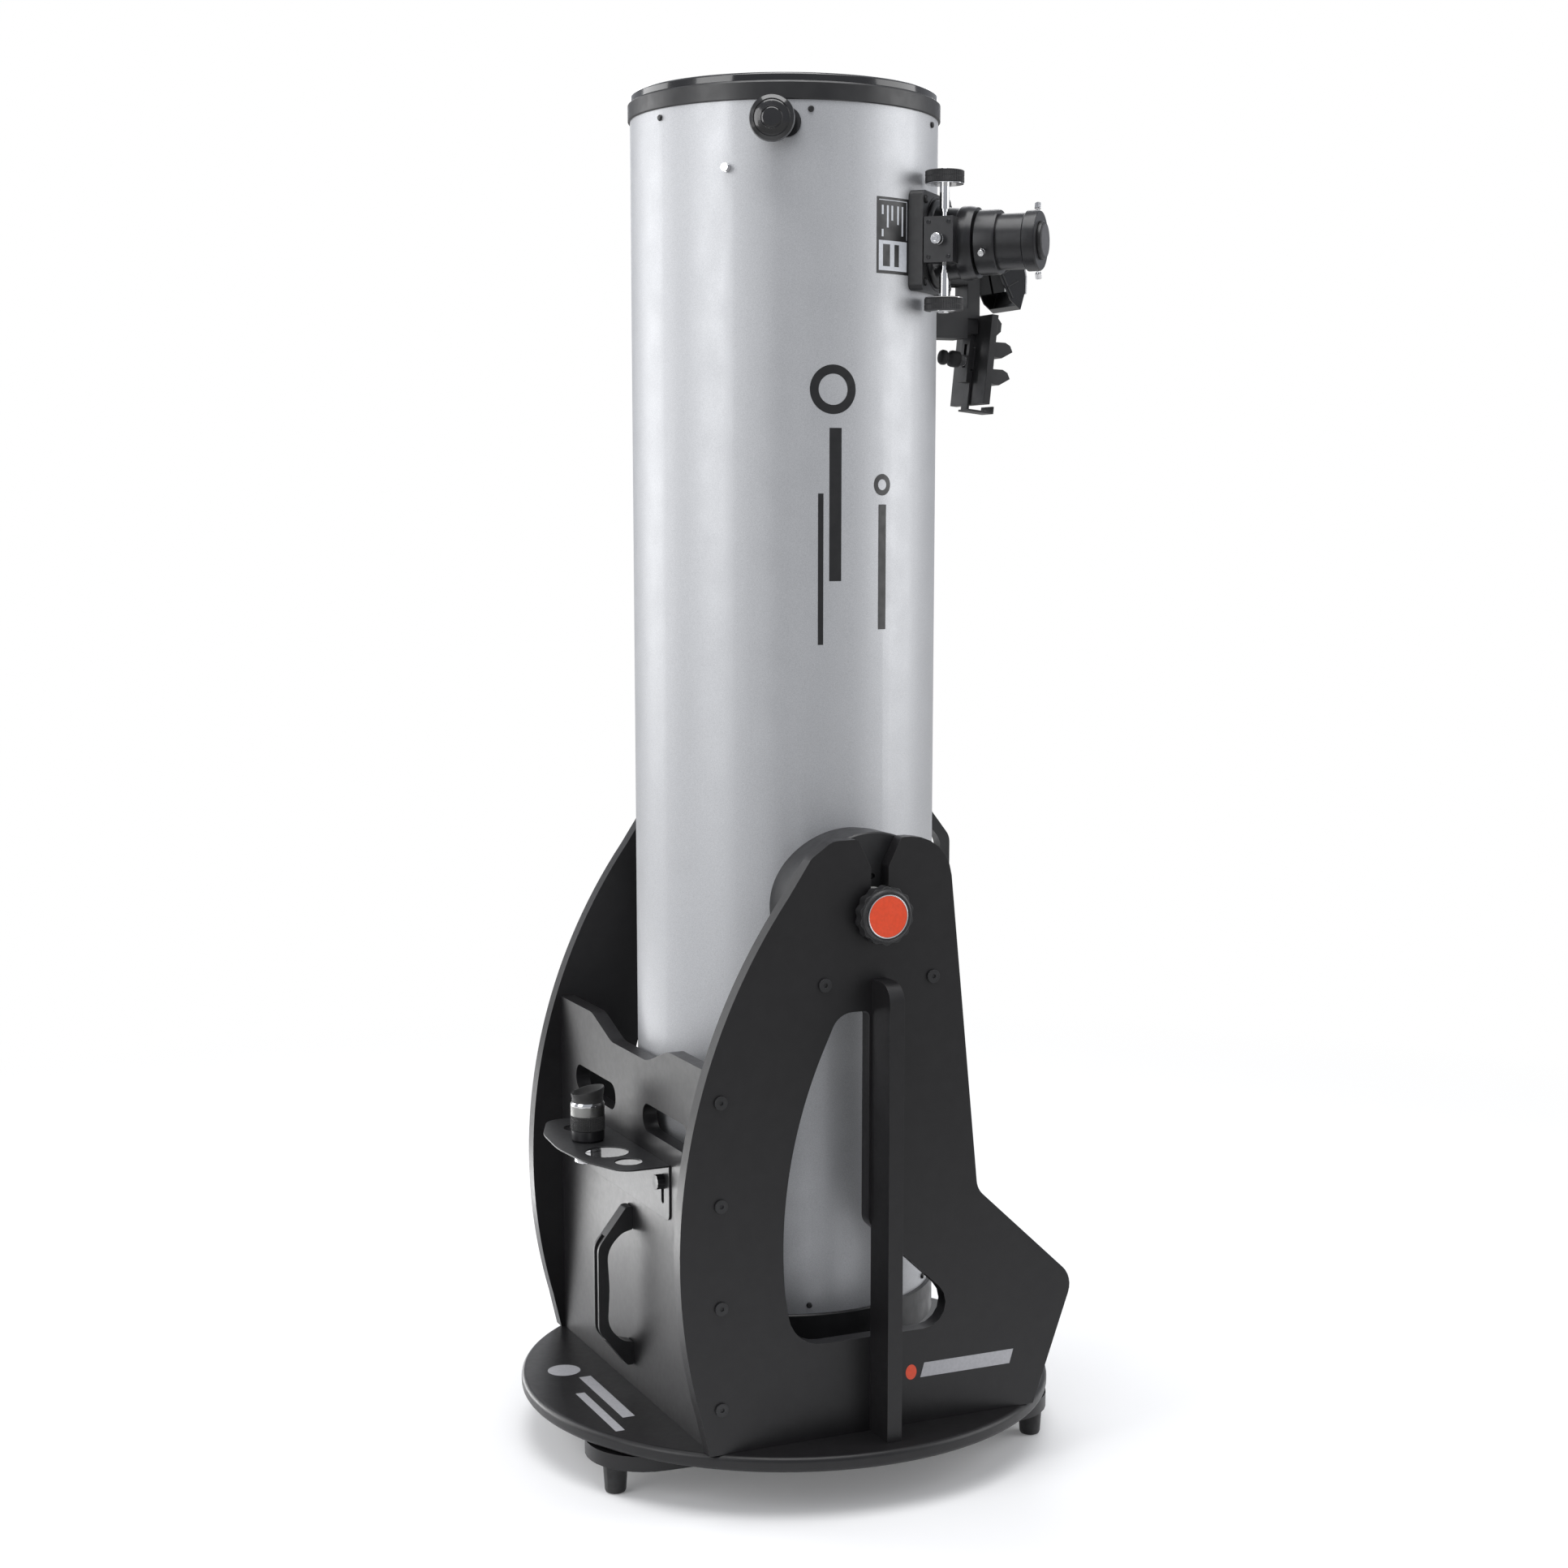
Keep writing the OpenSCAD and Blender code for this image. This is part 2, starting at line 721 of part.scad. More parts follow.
module at_holder_screws(reach) {
    for (k = [0:2]) rotate([0, 0, 120 * k]) translate([reach, 0, 0]) children();
}

module spider() {
    color("#1b1b1d")
    on_spider() difference() {
        union() {
            rod_z(0, 0, -14, hub_r, 28);
            for (k = [0:3]) rotate([0, 0, 90 * k]) {
                translate([hub_r - 2, -0.6, -vane_h / 2]) cube([bore_r - hub_r, 1.2, vane_h]);
                rod_x(bore_r - 8, 0, 0, small_r, 16);
            }
        }
        rod_z(0, 0, -20, 3 + fit, 40);
        at_holder_screws(14) rod_z(0, 0, -20, 2 + fit, 40);
    }
}

module spider_nuts() {
    color("#c4c7cb")
    on_spider() for (k = [0:3]) rotate([0, 0, 90 * k]) difference() {
        union() {
            translate([tube_r + eps, 0, 0]) rotate([0, 90, 0]) cylinder(r = 5, h = 4, $fn = 6);
            rod_x(tube_r + 4, 0, 0, 4.2, 5);
        }
        rod_x(tube_r - 2, 0, 0, small_r + fit, 9);
    }
}

module secondary_mirror() {
    color("#dfe6ee")
    at_focuser() intersection() {
        rod_z(0, 0, -80, 35, 160, $fn = 120);
        rotate([0, 135, 0]) translate([-60, -60, -9]) cube([120, 120, 9]);
    }
}

module secondary_holder() {
    color("#1b1b1d")
    at_focuser() {
        intersection() {
            rod_z(0, 0, -31, 31, 80);
            rotate([0, 135, 0]) translate([-100, -100, -109.1]) cube([200, 200, 100]);
        }
        rod_z(0, 0, 48, 3, 50);
    }
}

module secondary_screws() {
    color("#8f9296")
    on_spider() at_holder_screws(14) {
        rod_z(0, 0, -21.8, 2, 37);
        translate([0, 0, 14.2]) pan_head(4, 4);
    }
}

/* ---------- altitude bearings ---------- */
module altitude_bearings() {
    color("#1e1e21")
    both_sides() on_tube() difference() {
        translate([0, 0, alt_up_tube]) rotate([0, 90, 0]) rotate_extrude($fn = 180)
            polygon([[0, 140], [disc_r - 1.5, 140], [disc_r - 1.5, disc_face - 41],
                     [disc_r, disc_face - 40], [disc_r, disc_face - 1.5],
                     [disc_r - 1.5, disc_face], [0, disc_face]]);
        rod_z(0, 0, 0, tube_r + fit, 1500, $fn = 240);
        rod_x(disc_face - 42, 0, alt_up_tube, bolt_r + fit, 50);
        for (a = disc_screw_a)
            translate([0, disc_screw_reach * cos(a), alt_up_tube + disc_screw_reach * sin(a)]) {
                rod_x(100, 0, 0, screw_r + fit, 200);
                rod_x(disc_face - 5, 0, 0, 12.5, 10);
            }
        rod_x(disc_face - 4, 0, alt_up_tube + 40, 3.5, 10);
    }
}

module bearing_screws() {
    color("#2c2c30")
    on_tube() {
        bearing_shanks(0);
        at_bearing_screws() translate([0, 0, -4.9]) difference() {
            cylinder(r = 10, h = 3.5);
            translate([0, 0, 1.5]) cylinder(r = 4, h = 5, $fn = 6);
        }
    }
}

module friction_washers() {
    color("#d8d8d2")
    both_sides() difference() {
        rod_x(disc_face + 0.15, 0, alt_z, 28, washer_t);
        rod_x(disc_face - 5, 0, alt_z, bolt_r + fit, 20);
    }
}

module tension_knob() {
    face = outer_x + 0.5;
    color("#1b1b1d") {
        translate([face, 0, alt_z]) rotate([0, 90, 0]) {
            cylinder(r = 19, h = 5);
            translate([0, 0, 4]) grip(knob_d / 2, 14, 14, 2.4);
            translate([0, 0, 17]) rotate_extrude()
                polygon([[0, 0], [30, 0], [30, 2.5], [27.5, 4.5], [27, 3.5], [0, 3.5]]);
        }
        rod_x(disc_face - 38, 0, alt_z, bolt_r, face + 1 - (disc_face - 38));
    }
}

module right_tension_knob() {
    tension_knob();
}

module left_tension_knob() {
    mirror([1, 0, 0]) tension_knob();
}

/* ---------- pointing knob ---------- */
module pointing_knob() {
    foot = tube_r + 6;
    color("#1b1b1d")
    on_tube() rotate([0, 0, pointing_turn]) translate([0, 0, pointing_z]) {
        difference() {
            rotate([90, 0, 90]) translate([0, 0, tube_r - 6]) linear_extrude(12)
                polygon(rounded([[-16, -16, 15.9], [30, -16, 15.9], [30, 16, 15.9],
                                 [-16, 16, 15.9]]));
            translate([0, 0, -100]) cylinder(r = tube_r + fit, h = 200, $fn = 180);
        }
        rotate([0, 90, 0]) rotate_extrude()
            polygon([[0, foot - 1], [13, foot - 1], [11, foot + 8], [11, foot + 16],
                     [16, foot + 21], [24, foot + 24], [25, foot + 28], [24, foot + 32],
                     [20, foot + 34.5], [19, foot + 33.5], [17, foot + 34.5], [12, foot + 36],
                     [11, foot + 35], [9, foot + 36], [0, foot + 36.5]]);
        rod_x(tube_r - 9, 0, 0, small_r, 12);
    }
}

/* ---------- focuser ---------- */
module focuser_base() {
    color("#1f1f22")
    at_focuser() difference() {
        rotate([90, 0, 90]) translate([0, 0, 150]) linear_extrude(saddle_out - 150)
            polygon(rounded([for (p = [[-1, -1], [1, -1], [1, 1], [-1, 1]])
                [p.x * base_half, p.y * base_half, 7]]));
        translate([0, 0, -100]) cylinder(r = tube_r + fit, h = 200, $fn = 240);
        rod_x(140, 0, 0, draw_r + 2, 60);
        for (s = [-1, 1], u = [-1, 1])
            rod_x(140, s * base_hole, u * base_hole, small_r + fit, 60);
    }
}

module focuser_body() {
    low = saddle_out + eps;
    color("#202023")
    at_focuser() difference() {
        union() {
            rotate([0, 90, 0]) rotate_extrude($fn = 96)
                polygon([[0, low], [49, low], [49, low + 3], [47, low + 5], [44, low + 6],
                         [40, low + 16], [39, low + 30], [41, low + 33], [41, body_out - 8],
                         [39, body_out], [0, body_out]]);
            translate([shaft_out - 17, -54, -25]) cube([34, 26, 50]);
        }
        rod_x(100, 0, 0, draw_r + fit, 200);
        rod_z(shaft_out, shaft_side, -60, focus_shaft_r + fit, 120);
        translate([shaft_out - 5, shaft_side - 2, -12]) cube([10, 8, 24]);
        translate([shaft_out, -60, 0]) rotate([-90, 0, 0]) cylinder(r = 2.5 + fit, h = 22);
    }
}

module drawtube() {
    color("#2a2a2e")
    at_focuser() difference() {
        rotate([0, 90, 0]) rotate_extrude($fn = 96)
            polygon([[draw_id / 2, 160], [draw_r, 160], [draw_r, collar_in], [35, collar_in],
                     [36, collar_in + 1.5], [36, collar_out - 2], [35, collar_out],
                     [draw_id / 2, collar_out]]);
        rotate([200, 0, 0]) rod_z(collar_in + 12, 0, 20, 1.5 + fit, 30);
    }
}

module eyepiece_adapter() {
    color("#1b1b1d")
    at_focuser() difference() {
        rotate([0, 90, 0]) rotate_extrude($fn = 96)
            polygon([[15.95, 240], [draw_id / 2 - 0.1, 240], [draw_id / 2 - 0.1, collar_out + eps],
                     [31, collar_out + eps], [31, collar_out + 30], [33.5, collar_out + 32],
                     [33.5, adapter_out - 2], [32, adapter_out], [22, adapter_out],
                     [15.95, adapter_out - 4]]);
        for (a = [75, 5, -65]) rotate([a - 90, 0, 0]) rod_z(adapter_out - 7, 0, 10, 1.5 + fit, 40);
    }
}

// A thumbscrew whose tip is at height r, standing outwards along +Z
module thumbscrew(r, length) {
    rod_z(0, 0, r, 1.5, length);
    translate([0, 0, r + length - 1]) grip(3.6, 7, 12, 0.5);
}

module clamp_screws() {
    color("#c4c7cb")
    at_focuser() {
        for (a = [75, 5, -65])
            rotate([a - 90, 0, 0]) translate([adapter_out - 7, 0, 0]) thumbscrew(18, 20);
        rotate([200, 0, 0]) translate([collar_in + 12, 0, 0]) thumbscrew(26, 15);
    }
}

module focus_shaft() {
    color("#c4c7cb")
    at_focuser() translate([shaft_out, shaft_side, 0]) {
        rod_z(0, 0, -focus_knob_z - 8, focus_shaft_r, 2 * focus_knob_z + 16);
        for (s = [0, 1]) mirror([0, 0, s]) rod_z(0, 0, 32, 4, 3);
        for (s = [0, 1]) mirror([0, 0, s])
            rod_z(0, 0, 35, 5.5, focus_knob_z - focus_knob_h / 2 - eps - 35);
    }
}

module focus_knobs() {
    color("#1b1b1d")
    at_focuser() translate([shaft_out, shaft_side, 0])
        for (s = [0, 1]) mirror([0, 0, s]) translate([0, 0, focus_knob_z - focus_knob_h / 2])
            difference() {
                grip(22, focus_knob_h, 36, 0.7);
                translate([0, 0, -1]) cylinder(r = focus_shaft_r + 0.02, h = 20);
            }
}

module focuser_lock_screw() {
    color("#c4c7cb")
    at_focuser() translate([shaft_out, -54.3, 0]) rotate([90, 0, 0]) {
        grip(6, 11, 16, 0.8);
        rod_z(0, 0, -16, 2.5, 17);
    }
}

module focuser_plug() {
    color("#2e2e31")
    at_focuser() rotate([0, 90, 0]) rotate_extrude($fn = 96)
        polygon([[0, 284], [15.4, 284], [15.85, 285], [15.85, adapter_out - 4], [21, adapter_out + eps],
                 [21, adapter_out + 3], [19.5, adapter_out + 5], [0, adapter_out + 5]]);
}

/* ---------- phone dock ---------- */
// Dock frame: X across, Y outwards from the tube's wall, Z in the tube's frame
module on_dock() {
    on_tube() translate([0, dock_y, 0]) children();
}

module dock_bracket() {
    half = 24;
    color("#1d1d20")
    on_tube() difference() {
        union() {
            translate([0, tube_r + 10, 0]) rotate([90, 0, 0]) linear_extrude(14)
                polygon(rounded([[-half, 1166, 8], [-14, 1147, 10], [14, 1147, 10],
                    [half, 1166, 8], [half, 1250, 8], [-half, 1250, 8]]));
            translate([-19, tube_r + 4, 1176]) cube([38, 52, 36]);
            rod_y(-12, tube_r + 4, 1243, 5, 52.8);
            rod_y(12, tube_r + 4, 1243, 5, 52.8);
        }
        rod_z(0, 0, 1000, tube_r + fit, 400, $fn = 240);
        at_dock_screws() translate([0, 0, -30]) cylinder(r = small_r + fit, h = 60);
        at_dock_screws() cylinder(r = small_head_r + 0.5, h = 10);
        translate([-13, tube_r + 30, 1182]) cube([26, 30, 24]);
    }
}

module dock_arm() {
    color("#242428") {
        on_dock() {
            translate([-12.9, 32, 1182.1]) cube([25.8, 42, 23.8]);
            translate([-16, 57, 1200]) cube([32, 17, 110]);
            translate([-14, 34, 1252]) cube([28, 24, 34]);
        }
        on_tray() difference() {
            translate([-10, -9.2, -92]) cube([20, 5, 92]);
            translate([-stud_slot, -12, -knob_drop - 8]) cube([2 * stud_slot, 10, 28]);
        }
    }
}

module dock_housing() {
    half = 34;
    shell = 2.5;
    color("#232327")
    on_dock() difference() {
        translate([half, 0, 0]) rotate([0, -90, 0]) linear_extrude(2 * half)
            polygon([for (p = housing_path()) [p.y, p.x]]);
        translate([half - shell, 0, 0]) rotate([0, -90, 0]) linear_extrude(2 * (half - shell))
            polygon([for (p = housing_hollow()) [p.y, p.x]]);
    }
}

// Side outline of the mirror housing as [outwards, height]
function housing_path() =
    [[75, 1318], [93, 1316], [104, 1303], [114, 1288], [122, 1270], [126, 1250], [126, 1232],
     [120, 1211], [106, 1222], [77, 1278], [75, 1300]];

function housing_hollow() =
    [[80, 1312], [92, 1311], [101, 1300], [111, 1286], [119, 1269], [123, 1250], [123, 1232],
     [119, 1216], [100, 1216], [70, 1272]];

module dock_mirror() {
    color("#dfe6ee")
    on_dock() rotate([0, 90, 0]) translate([0, 0, -29]) linear_extrude(58)
        polygon([[-1290, 105], [-1289, 108.6], [-1236, 119.9], [-1235, 118]]);
}

module on_tray() {
    on_dock() translate([0, 78, 1216]) rotate([tray_tilt, 0, 0]) children();
}

module phone_tray() {
    color("#1f1f23")
    on_tray() {
        translate([-tray_half, 0, -118]) cube([2 * tray_half, 9, 106]);
        for (z = [-84, -52]) translate([-tray_half, 0, z])
            rotate([90, 0, 90]) linear_extrude(2 * tray_half)
                polygon([[8, -9], [19, -10], [33, -1], [29, 6], [22, 9], [8, 8]]);
        translate([-26, 0, -14]) rotate([90, 0, 90]) linear_extrude(52)
            polygon([[8, -20], [18, -20], [23, -15], [23, -5], [18, 0], [8, 0]]);
        translate([-8, -4, -knob_drop - 10]) cube([16, 4 + eps, 26]);
    }
}

module phone_clamp() {
    color("#242428")
    on_tray() {
        translate([-8, -3.2, -124]) cube([16, 3, 46]);
        translate([-14, -3.2, -126]) cube([28, 34, 2.5]);
        translate([-14, 28, -126]) cube([28, 2.8, 9]);
    }
}

module dock_knob() {
    color("#151517")
    on_tray() translate([0, 0, -knob_drop]) rotate([90, 0, 0]) {
        translate([0, 0, 4.1]) cylinder(r = 3, h = 8);
        translate([0, 0, 9.5]) cylinder(r = 6.5, h = 8);
        translate([0, 0, 17]) grip(10, 13, 10, 1.6);
        translate([0, 0, 29]) cylinder(r = 6, h = 5);
        translate([0, 0, 33]) grip(9, 9, 10, 1.4);
    }
}

ground_board();
ground_feet();
azimuth_pads();
azimuth_bolt();
azimuth_nut();
azimuth_board();
azimuth_bushing();
right_side_board();
left_side_board();
front_board();
side_braces();
base_screws();
bearing_posts();
base_handle();
eyepiece_rack();
rack_knobs();
friction_washers();
tube_shell();
top_ring();
bottom_ring();
tube_screws();
cell_frame();
mirror_plate();
primary_mirror();
mirror_clips();
collimation_springs();
lock_screws();
collimation_knob_a();
collimation_knob_b();
collimation_knob_c();
spider();
spider_nuts();
secondary_holder();
secondary_mirror();
secondary_screws();
altitude_bearings();
bearing_screws();
tube_handle();
pointing_knob();
focuser_base();
focuser_body();
drawtube();
eyepiece_adapter();
clamp_screws();
focus_shaft();
focus_knobs();
focuser_lock_screw();
focuser_plug();
dust_cover();
right_tension_knob();
left_tension_knob();
eyepiece();
eyecup();
dock_bracket();
dock_arm();
dock_housing();
dock_mirror();
phone_tray();
phone_clamp();
dock_knob();
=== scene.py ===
"""Looks of the dobsonian telescope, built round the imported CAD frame. Metres, +Z up, as in the CAD."""
import json
import math

import bmesh
import bpy
from mathutils import Matrix, Vector


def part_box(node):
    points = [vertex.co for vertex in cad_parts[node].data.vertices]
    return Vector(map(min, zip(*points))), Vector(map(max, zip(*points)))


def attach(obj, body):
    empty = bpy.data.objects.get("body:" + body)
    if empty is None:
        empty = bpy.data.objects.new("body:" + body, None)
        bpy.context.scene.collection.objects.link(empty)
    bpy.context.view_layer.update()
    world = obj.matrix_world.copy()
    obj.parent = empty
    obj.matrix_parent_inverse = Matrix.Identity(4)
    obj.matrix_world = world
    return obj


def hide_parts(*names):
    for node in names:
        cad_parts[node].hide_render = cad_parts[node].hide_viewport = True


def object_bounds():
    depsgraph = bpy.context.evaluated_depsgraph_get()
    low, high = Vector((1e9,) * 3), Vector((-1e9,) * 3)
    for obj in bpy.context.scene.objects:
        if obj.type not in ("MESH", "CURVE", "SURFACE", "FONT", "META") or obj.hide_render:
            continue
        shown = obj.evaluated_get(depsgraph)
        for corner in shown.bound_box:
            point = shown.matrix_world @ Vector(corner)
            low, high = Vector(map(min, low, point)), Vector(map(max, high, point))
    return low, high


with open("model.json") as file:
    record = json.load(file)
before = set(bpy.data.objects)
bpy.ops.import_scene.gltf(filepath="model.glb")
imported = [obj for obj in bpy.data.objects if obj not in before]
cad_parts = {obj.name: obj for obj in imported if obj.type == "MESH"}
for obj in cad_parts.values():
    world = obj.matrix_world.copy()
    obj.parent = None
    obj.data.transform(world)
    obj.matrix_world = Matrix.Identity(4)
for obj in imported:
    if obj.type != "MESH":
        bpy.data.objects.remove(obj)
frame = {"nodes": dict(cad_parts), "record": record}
cad_low, cad_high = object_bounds()
NODES = frame["nodes"]

MM = 0.001
TURN = 2 * math.pi


# ---------------------------------------------------------------- places read from the frame
def centre_of(node):
    low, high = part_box(node)
    return (low + high) / 2


tube_low, tube_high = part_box("tube_shell")
TUBE_R = (tube_high.x - tube_low.x) / 2
TUBE_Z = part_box("bottom_ring")[0].z
ALT_Z = centre_of("friction_washers").z
BOARD_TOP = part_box("right_side_board")[0].z
KNOB_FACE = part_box("right_tension_knob")[1].x
SIDE_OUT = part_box("right_side_board")[1].x


# ---------------------------------------------------------------- materials
class Shader:
    """A node material whose Principled shader is built up step by step."""

    def __init__(self, name, color, rough, metal=0.0):
        self.material = bpy.data.materials.new(name)
        self.material.use_nodes = True
        self.tree = self.material.node_tree
        self.surface = self.tree.nodes["Principled BSDF"]
        self.surface.inputs["Base Color"].default_value = (*color, 1)
        self.surface.inputs["Roughness"].default_value = rough
        self.surface.inputs["Metallic"].default_value = metal
        self.place = self.node("ShaderNodeTexCoord").outputs["Object"]
        self.color = None
        self.normal = None

    def node(self, kind, **settings):
        made = self.tree.nodes.new(kind)
        for key, value in settings.items():
            setattr(made, key, value)
        return made

    def link(self, source, target):
        self.tree.links.new(source, target)

    def noise(self, scale, detail, stretch=None):
        made = self.node("ShaderNodeTexNoise")
        made.inputs["Scale"].default_value = scale
        made.inputs["Detail"].default_value = detail
        made.inputs["Roughness"].default_value = 0.5
        if stretch is None:
            self.link(self.place, made.inputs["Vector"])
        else:
            mapping = self.node("ShaderNodeMapping")
            mapping.inputs["Scale"].default_value = stretch
            self.link(self.place, mapping.inputs["Vector"])
            self.link(mapping.outputs["Vector"], made.inputs["Vector"])
        return made.outputs["Fac"]

    def ramp(self, source, low, high, low_at=0.35, high_at=0.65):
        made = self.node("ShaderNodeMapRange")
        made.inputs["From Min"].default_value = low_at
        made.inputs["From Max"].default_value = high_at
        made.inputs["To Min"].default_value = low
        made.inputs["To Max"].default_value = high
        self.link(source, made.inputs["Value"])
        return made.outputs["Result"]

    def mix(self, factor, first, second):
        made = self.node("ShaderNodeMix", data_type="RGBA")
        for value, at in ((first, 6), (second, 7)):
            if isinstance(value, tuple):
                made.inputs[at].default_value = (*value, 1)
            else:
                self.link(value, made.inputs[at])
        self.link(factor, made.inputs["Factor"])
        return made.outputs[2]

    def colors(self, factor, first, second):
        self.color = self.mix(factor, first, second)
        self.link(self.color, self.surface.inputs["Base Color"])

    def roughness(self, factor, low, high):
        self.link(self.ramp(factor, low, high), self.surface.inputs["Roughness"])

    def bump(self, height, strength, distance):
        made = self.node("ShaderNodeBump")
        made.inputs["Strength"].default_value = strength
        made.inputs["Distance"].default_value = distance
        self.link(height, made.inputs["Height"])
        if self.normal is not None:
            self.link(self.normal, made.inputs["Normal"])
        self.normal = made.outputs["Normal"]
        self.link(self.normal, self.surface.inputs["Normal"])

    def worn_edges(self, color, radius, strength):
        """Shows another colour where a rounded-normal probe differs from the true normal."""
        probe = self.node("ShaderNodeBevel", samples=4)
        probe.inputs["Radius"].default_value = radius
        geometry = self.node("ShaderNodeNewGeometry")
        dot = self.node("ShaderNodeVectorMath", operation="DOT_PRODUCT")
        self.link(probe.outputs["Normal"], dot.inputs[0])
        self.link(geometry.outputs["Normal"], dot.inputs[1])
        edge = self.ramp(dot.outputs["Value"], strength, 0.0, 0.75, 0.98)
        patchy = self.ramp(self.noise(90, 4), 0.35, 1.0)
        both = self.node("ShaderNodeMath", operation="MULTIPLY")
        self.link(edge, both.inputs[0])
        self.link(patchy, both.inputs[1])
        self.colors(both.outputs["Value"], self.color, color)


def laminate():
    """Black melamine board: fine pebbled print, faint cloudiness, slightly worn edges."""
    made = Shader("laminate", (0.02, 0.02, 0.022), 0.42)
    cloud = made.ramp(made.noise(60, 5), 0.0, 1.0)
    made.colors(cloud, (0.0085, 0.0080, 0.0088), (0.0105, 0.0100, 0.0108))
    made.roughness(made.noise(140, 4), 0.37, 0.41)
    made.bump(made.noise(1400, 2), 0.16, 0.0002)
    made.worn_edges((0.05, 0.048, 0.05), 0.0012, 0.5)
    made.surface.inputs["Specular IOR Level"].default_value = 0.42
    return made.material


def silver_paint():
    """Silver metallic paint with a fine sparkle under a satin clear coat."""
    made = Shader("silver_paint", (0.50, 0.51, 0.53), 0.5, 0.55)
    flake = made.ramp(made.noise(1200, 1), 0.0, 1.0, 0.3, 0.7)
    made.colors(flake, (0.42, 0.427, 0.443), (0.54, 0.547, 0.563))
    made.roughness(made.noise(30, 3), 0.46, 0.52)
    made.bump(made.noise(1900, 2), 0.05, 0.0001)
    made.surface.inputs["Coat Weight"].default_value = 0.2
    made.surface.inputs["Coat Roughness"].default_value = 0.3
    black_inside(made)
    return made.material


# The black lining starts between these depths below the outside of the tube's wall
LINING_IN = 0.8 * MM
LINING_OUT = 0.6 * MM


def black_inside(made):
    """Flat black lining wherever the surface is nearer the tube's axis than its wall."""
    flat = made.node("ShaderNodeVectorMath", operation="MULTIPLY")
    flat.inputs[1].default_value = (1, 1, 0)
    made.link(made.place, flat.inputs[0])
    away = made.node("ShaderNodeVectorMath", operation="LENGTH")
    made.link(flat.outputs["Vector"], away.inputs[0])
    outside = made.ramp(away.outputs["Value"], 0.0, 1.0, TUBE_R - LINING_IN, TUBE_R - LINING_OUT)
    made.colors(outside, (0.006, 0.006, 0.006), made.color)
    shine = made.node("ShaderNodeMath", operation="MULTIPLY")
    shine.inputs[1].default_value = made.surface.inputs["Metallic"].default_value
    made.link(outside, shine.inputs[0])
    made.link(shine.outputs["Value"], made.surface.inputs["Metallic"])


def moulded(name, color, rough, grain=1500, depth=0.14):
    """Moulded plastic with a fine spark-eroded texture."""
    made = Shader(name, color, rough)
    lighter = tuple(c * 1.5 + 0.002 for c in color)
    made.colors(made.ramp(made.noise(22, 4), 0.0, 1.0), color, lighter)
    made.roughness(made.noise(60, 3), rough - 0.05, rough + 0.06)
    made.bump(made.noise(grain, 2), depth, 0.0002)
    made.worn_edges(tuple(c * 2.4 + 0.01 for c in color), 0.0008, 0.4)
    return made.material


def gloss_plastic():
    """Polished black plastic with faint handling marks under a clear coat."""
    made = Shader("gloss_plastic", (0.009, 0.009, 0.01), 0.14)
    streak = made.ramp(made.noise(12, 3), 0.0, 1.0)
    made.colors(streak, (0.008, 0.008, 0.009), (0.013, 0.013, 0.014))
    made.roughness(made.noise(18, 4), 0.10, 0.19)
    made.bump(made.noise(60, 3), 0.02, 0.0004)
    made.surface.inputs["Coat Weight"].default_value = 0.5
    made.surface.inputs["Coat Roughness"].default_value = 0.06
    return made.material


def rubber():
    """Soft black rubber with a dusty bloom and a fine grain."""
    made = Shader("rubber", (0.014, 0.014, 0.0145), 0.72)
    bloom = made.ramp(made.noise(40, 5), 0.0, 1.0)
    made.colors(bloom, (0.012, 0.012, 0.0125), (0.022, 0.0215, 0.021))
    made.roughness(made.noise(90, 3), 0.62, 0.8)
    made.bump(made.noise(900, 3), 0.25, 0.0003)
    made.surface.inputs["Sheen Weight"].default_value = 0.15
    return made.material


def bare_metal(name, color, rough, brushed=None):
    """Plated, polished or turned metal; brushed gives the stretch of its fine lines."""
    made = Shader(name, color, rough, 1.0)
    darker = tuple(c * 0.86 for c in color)
    made.colors(made.ramp(made.noise(25, 4), 0.0, 1.0), darker, color)
    made.roughness(made.noise(70, 4), rough * 0.75, rough * 1.3)
    if brushed is not None:
        made.bump(made.noise(60, 3, stretch=brushed), 0.12, 0.0002)
    return made.material


def coated_metal(name, color, rough):
    """Powder-coated or anodised metal with a bright worn edge."""
    made = Shader(name, color, rough, 0.2)
    lighter = tuple(c * 1.25 + 0.001 for c in color)
    made.colors(made.ramp(made.noise(120, 4), 0.0, 1.0), color, lighter)
    made.roughness(made.noise(260, 3), rough, rough + 0.03)
    made.bump(made.noise(2200, 2), 0.1, 0.0001)
    made.worn_edges((0.16, 0.16, 0.165), 0.0005, 0.45)
    return made.material


def mirror_glass():
    """An aluminised mirror with a trace of haze."""
    made = Shader("mirror_glass", (0.9, 0.92, 0.94), 0.02, 1.0)
    made.colors(made.ramp(made.noise(8, 3), 0.0, 1.0), (0.88, 0.90, 0.93), (0.92, 0.94, 0.96))
    made.roughness(made.noise(40, 4), 0.01, 0.05)
    return made.material


def printed(name, ink, rough=0.4):
    """Screen-printed ink or a label's film, slightly uneven."""
    made = Shader(name, ink, rough)
    made.colors(made.ramp(made.noise(300, 3), 0.0, 1.0), tuple(c * 0.9 for c in ink), ink)
    made.roughness(made.noise(120, 3), rough - 0.06, rough + 0.08)
    made.bump(made.noise(1200, 2), 0.05, 0.0001)
    return made.material


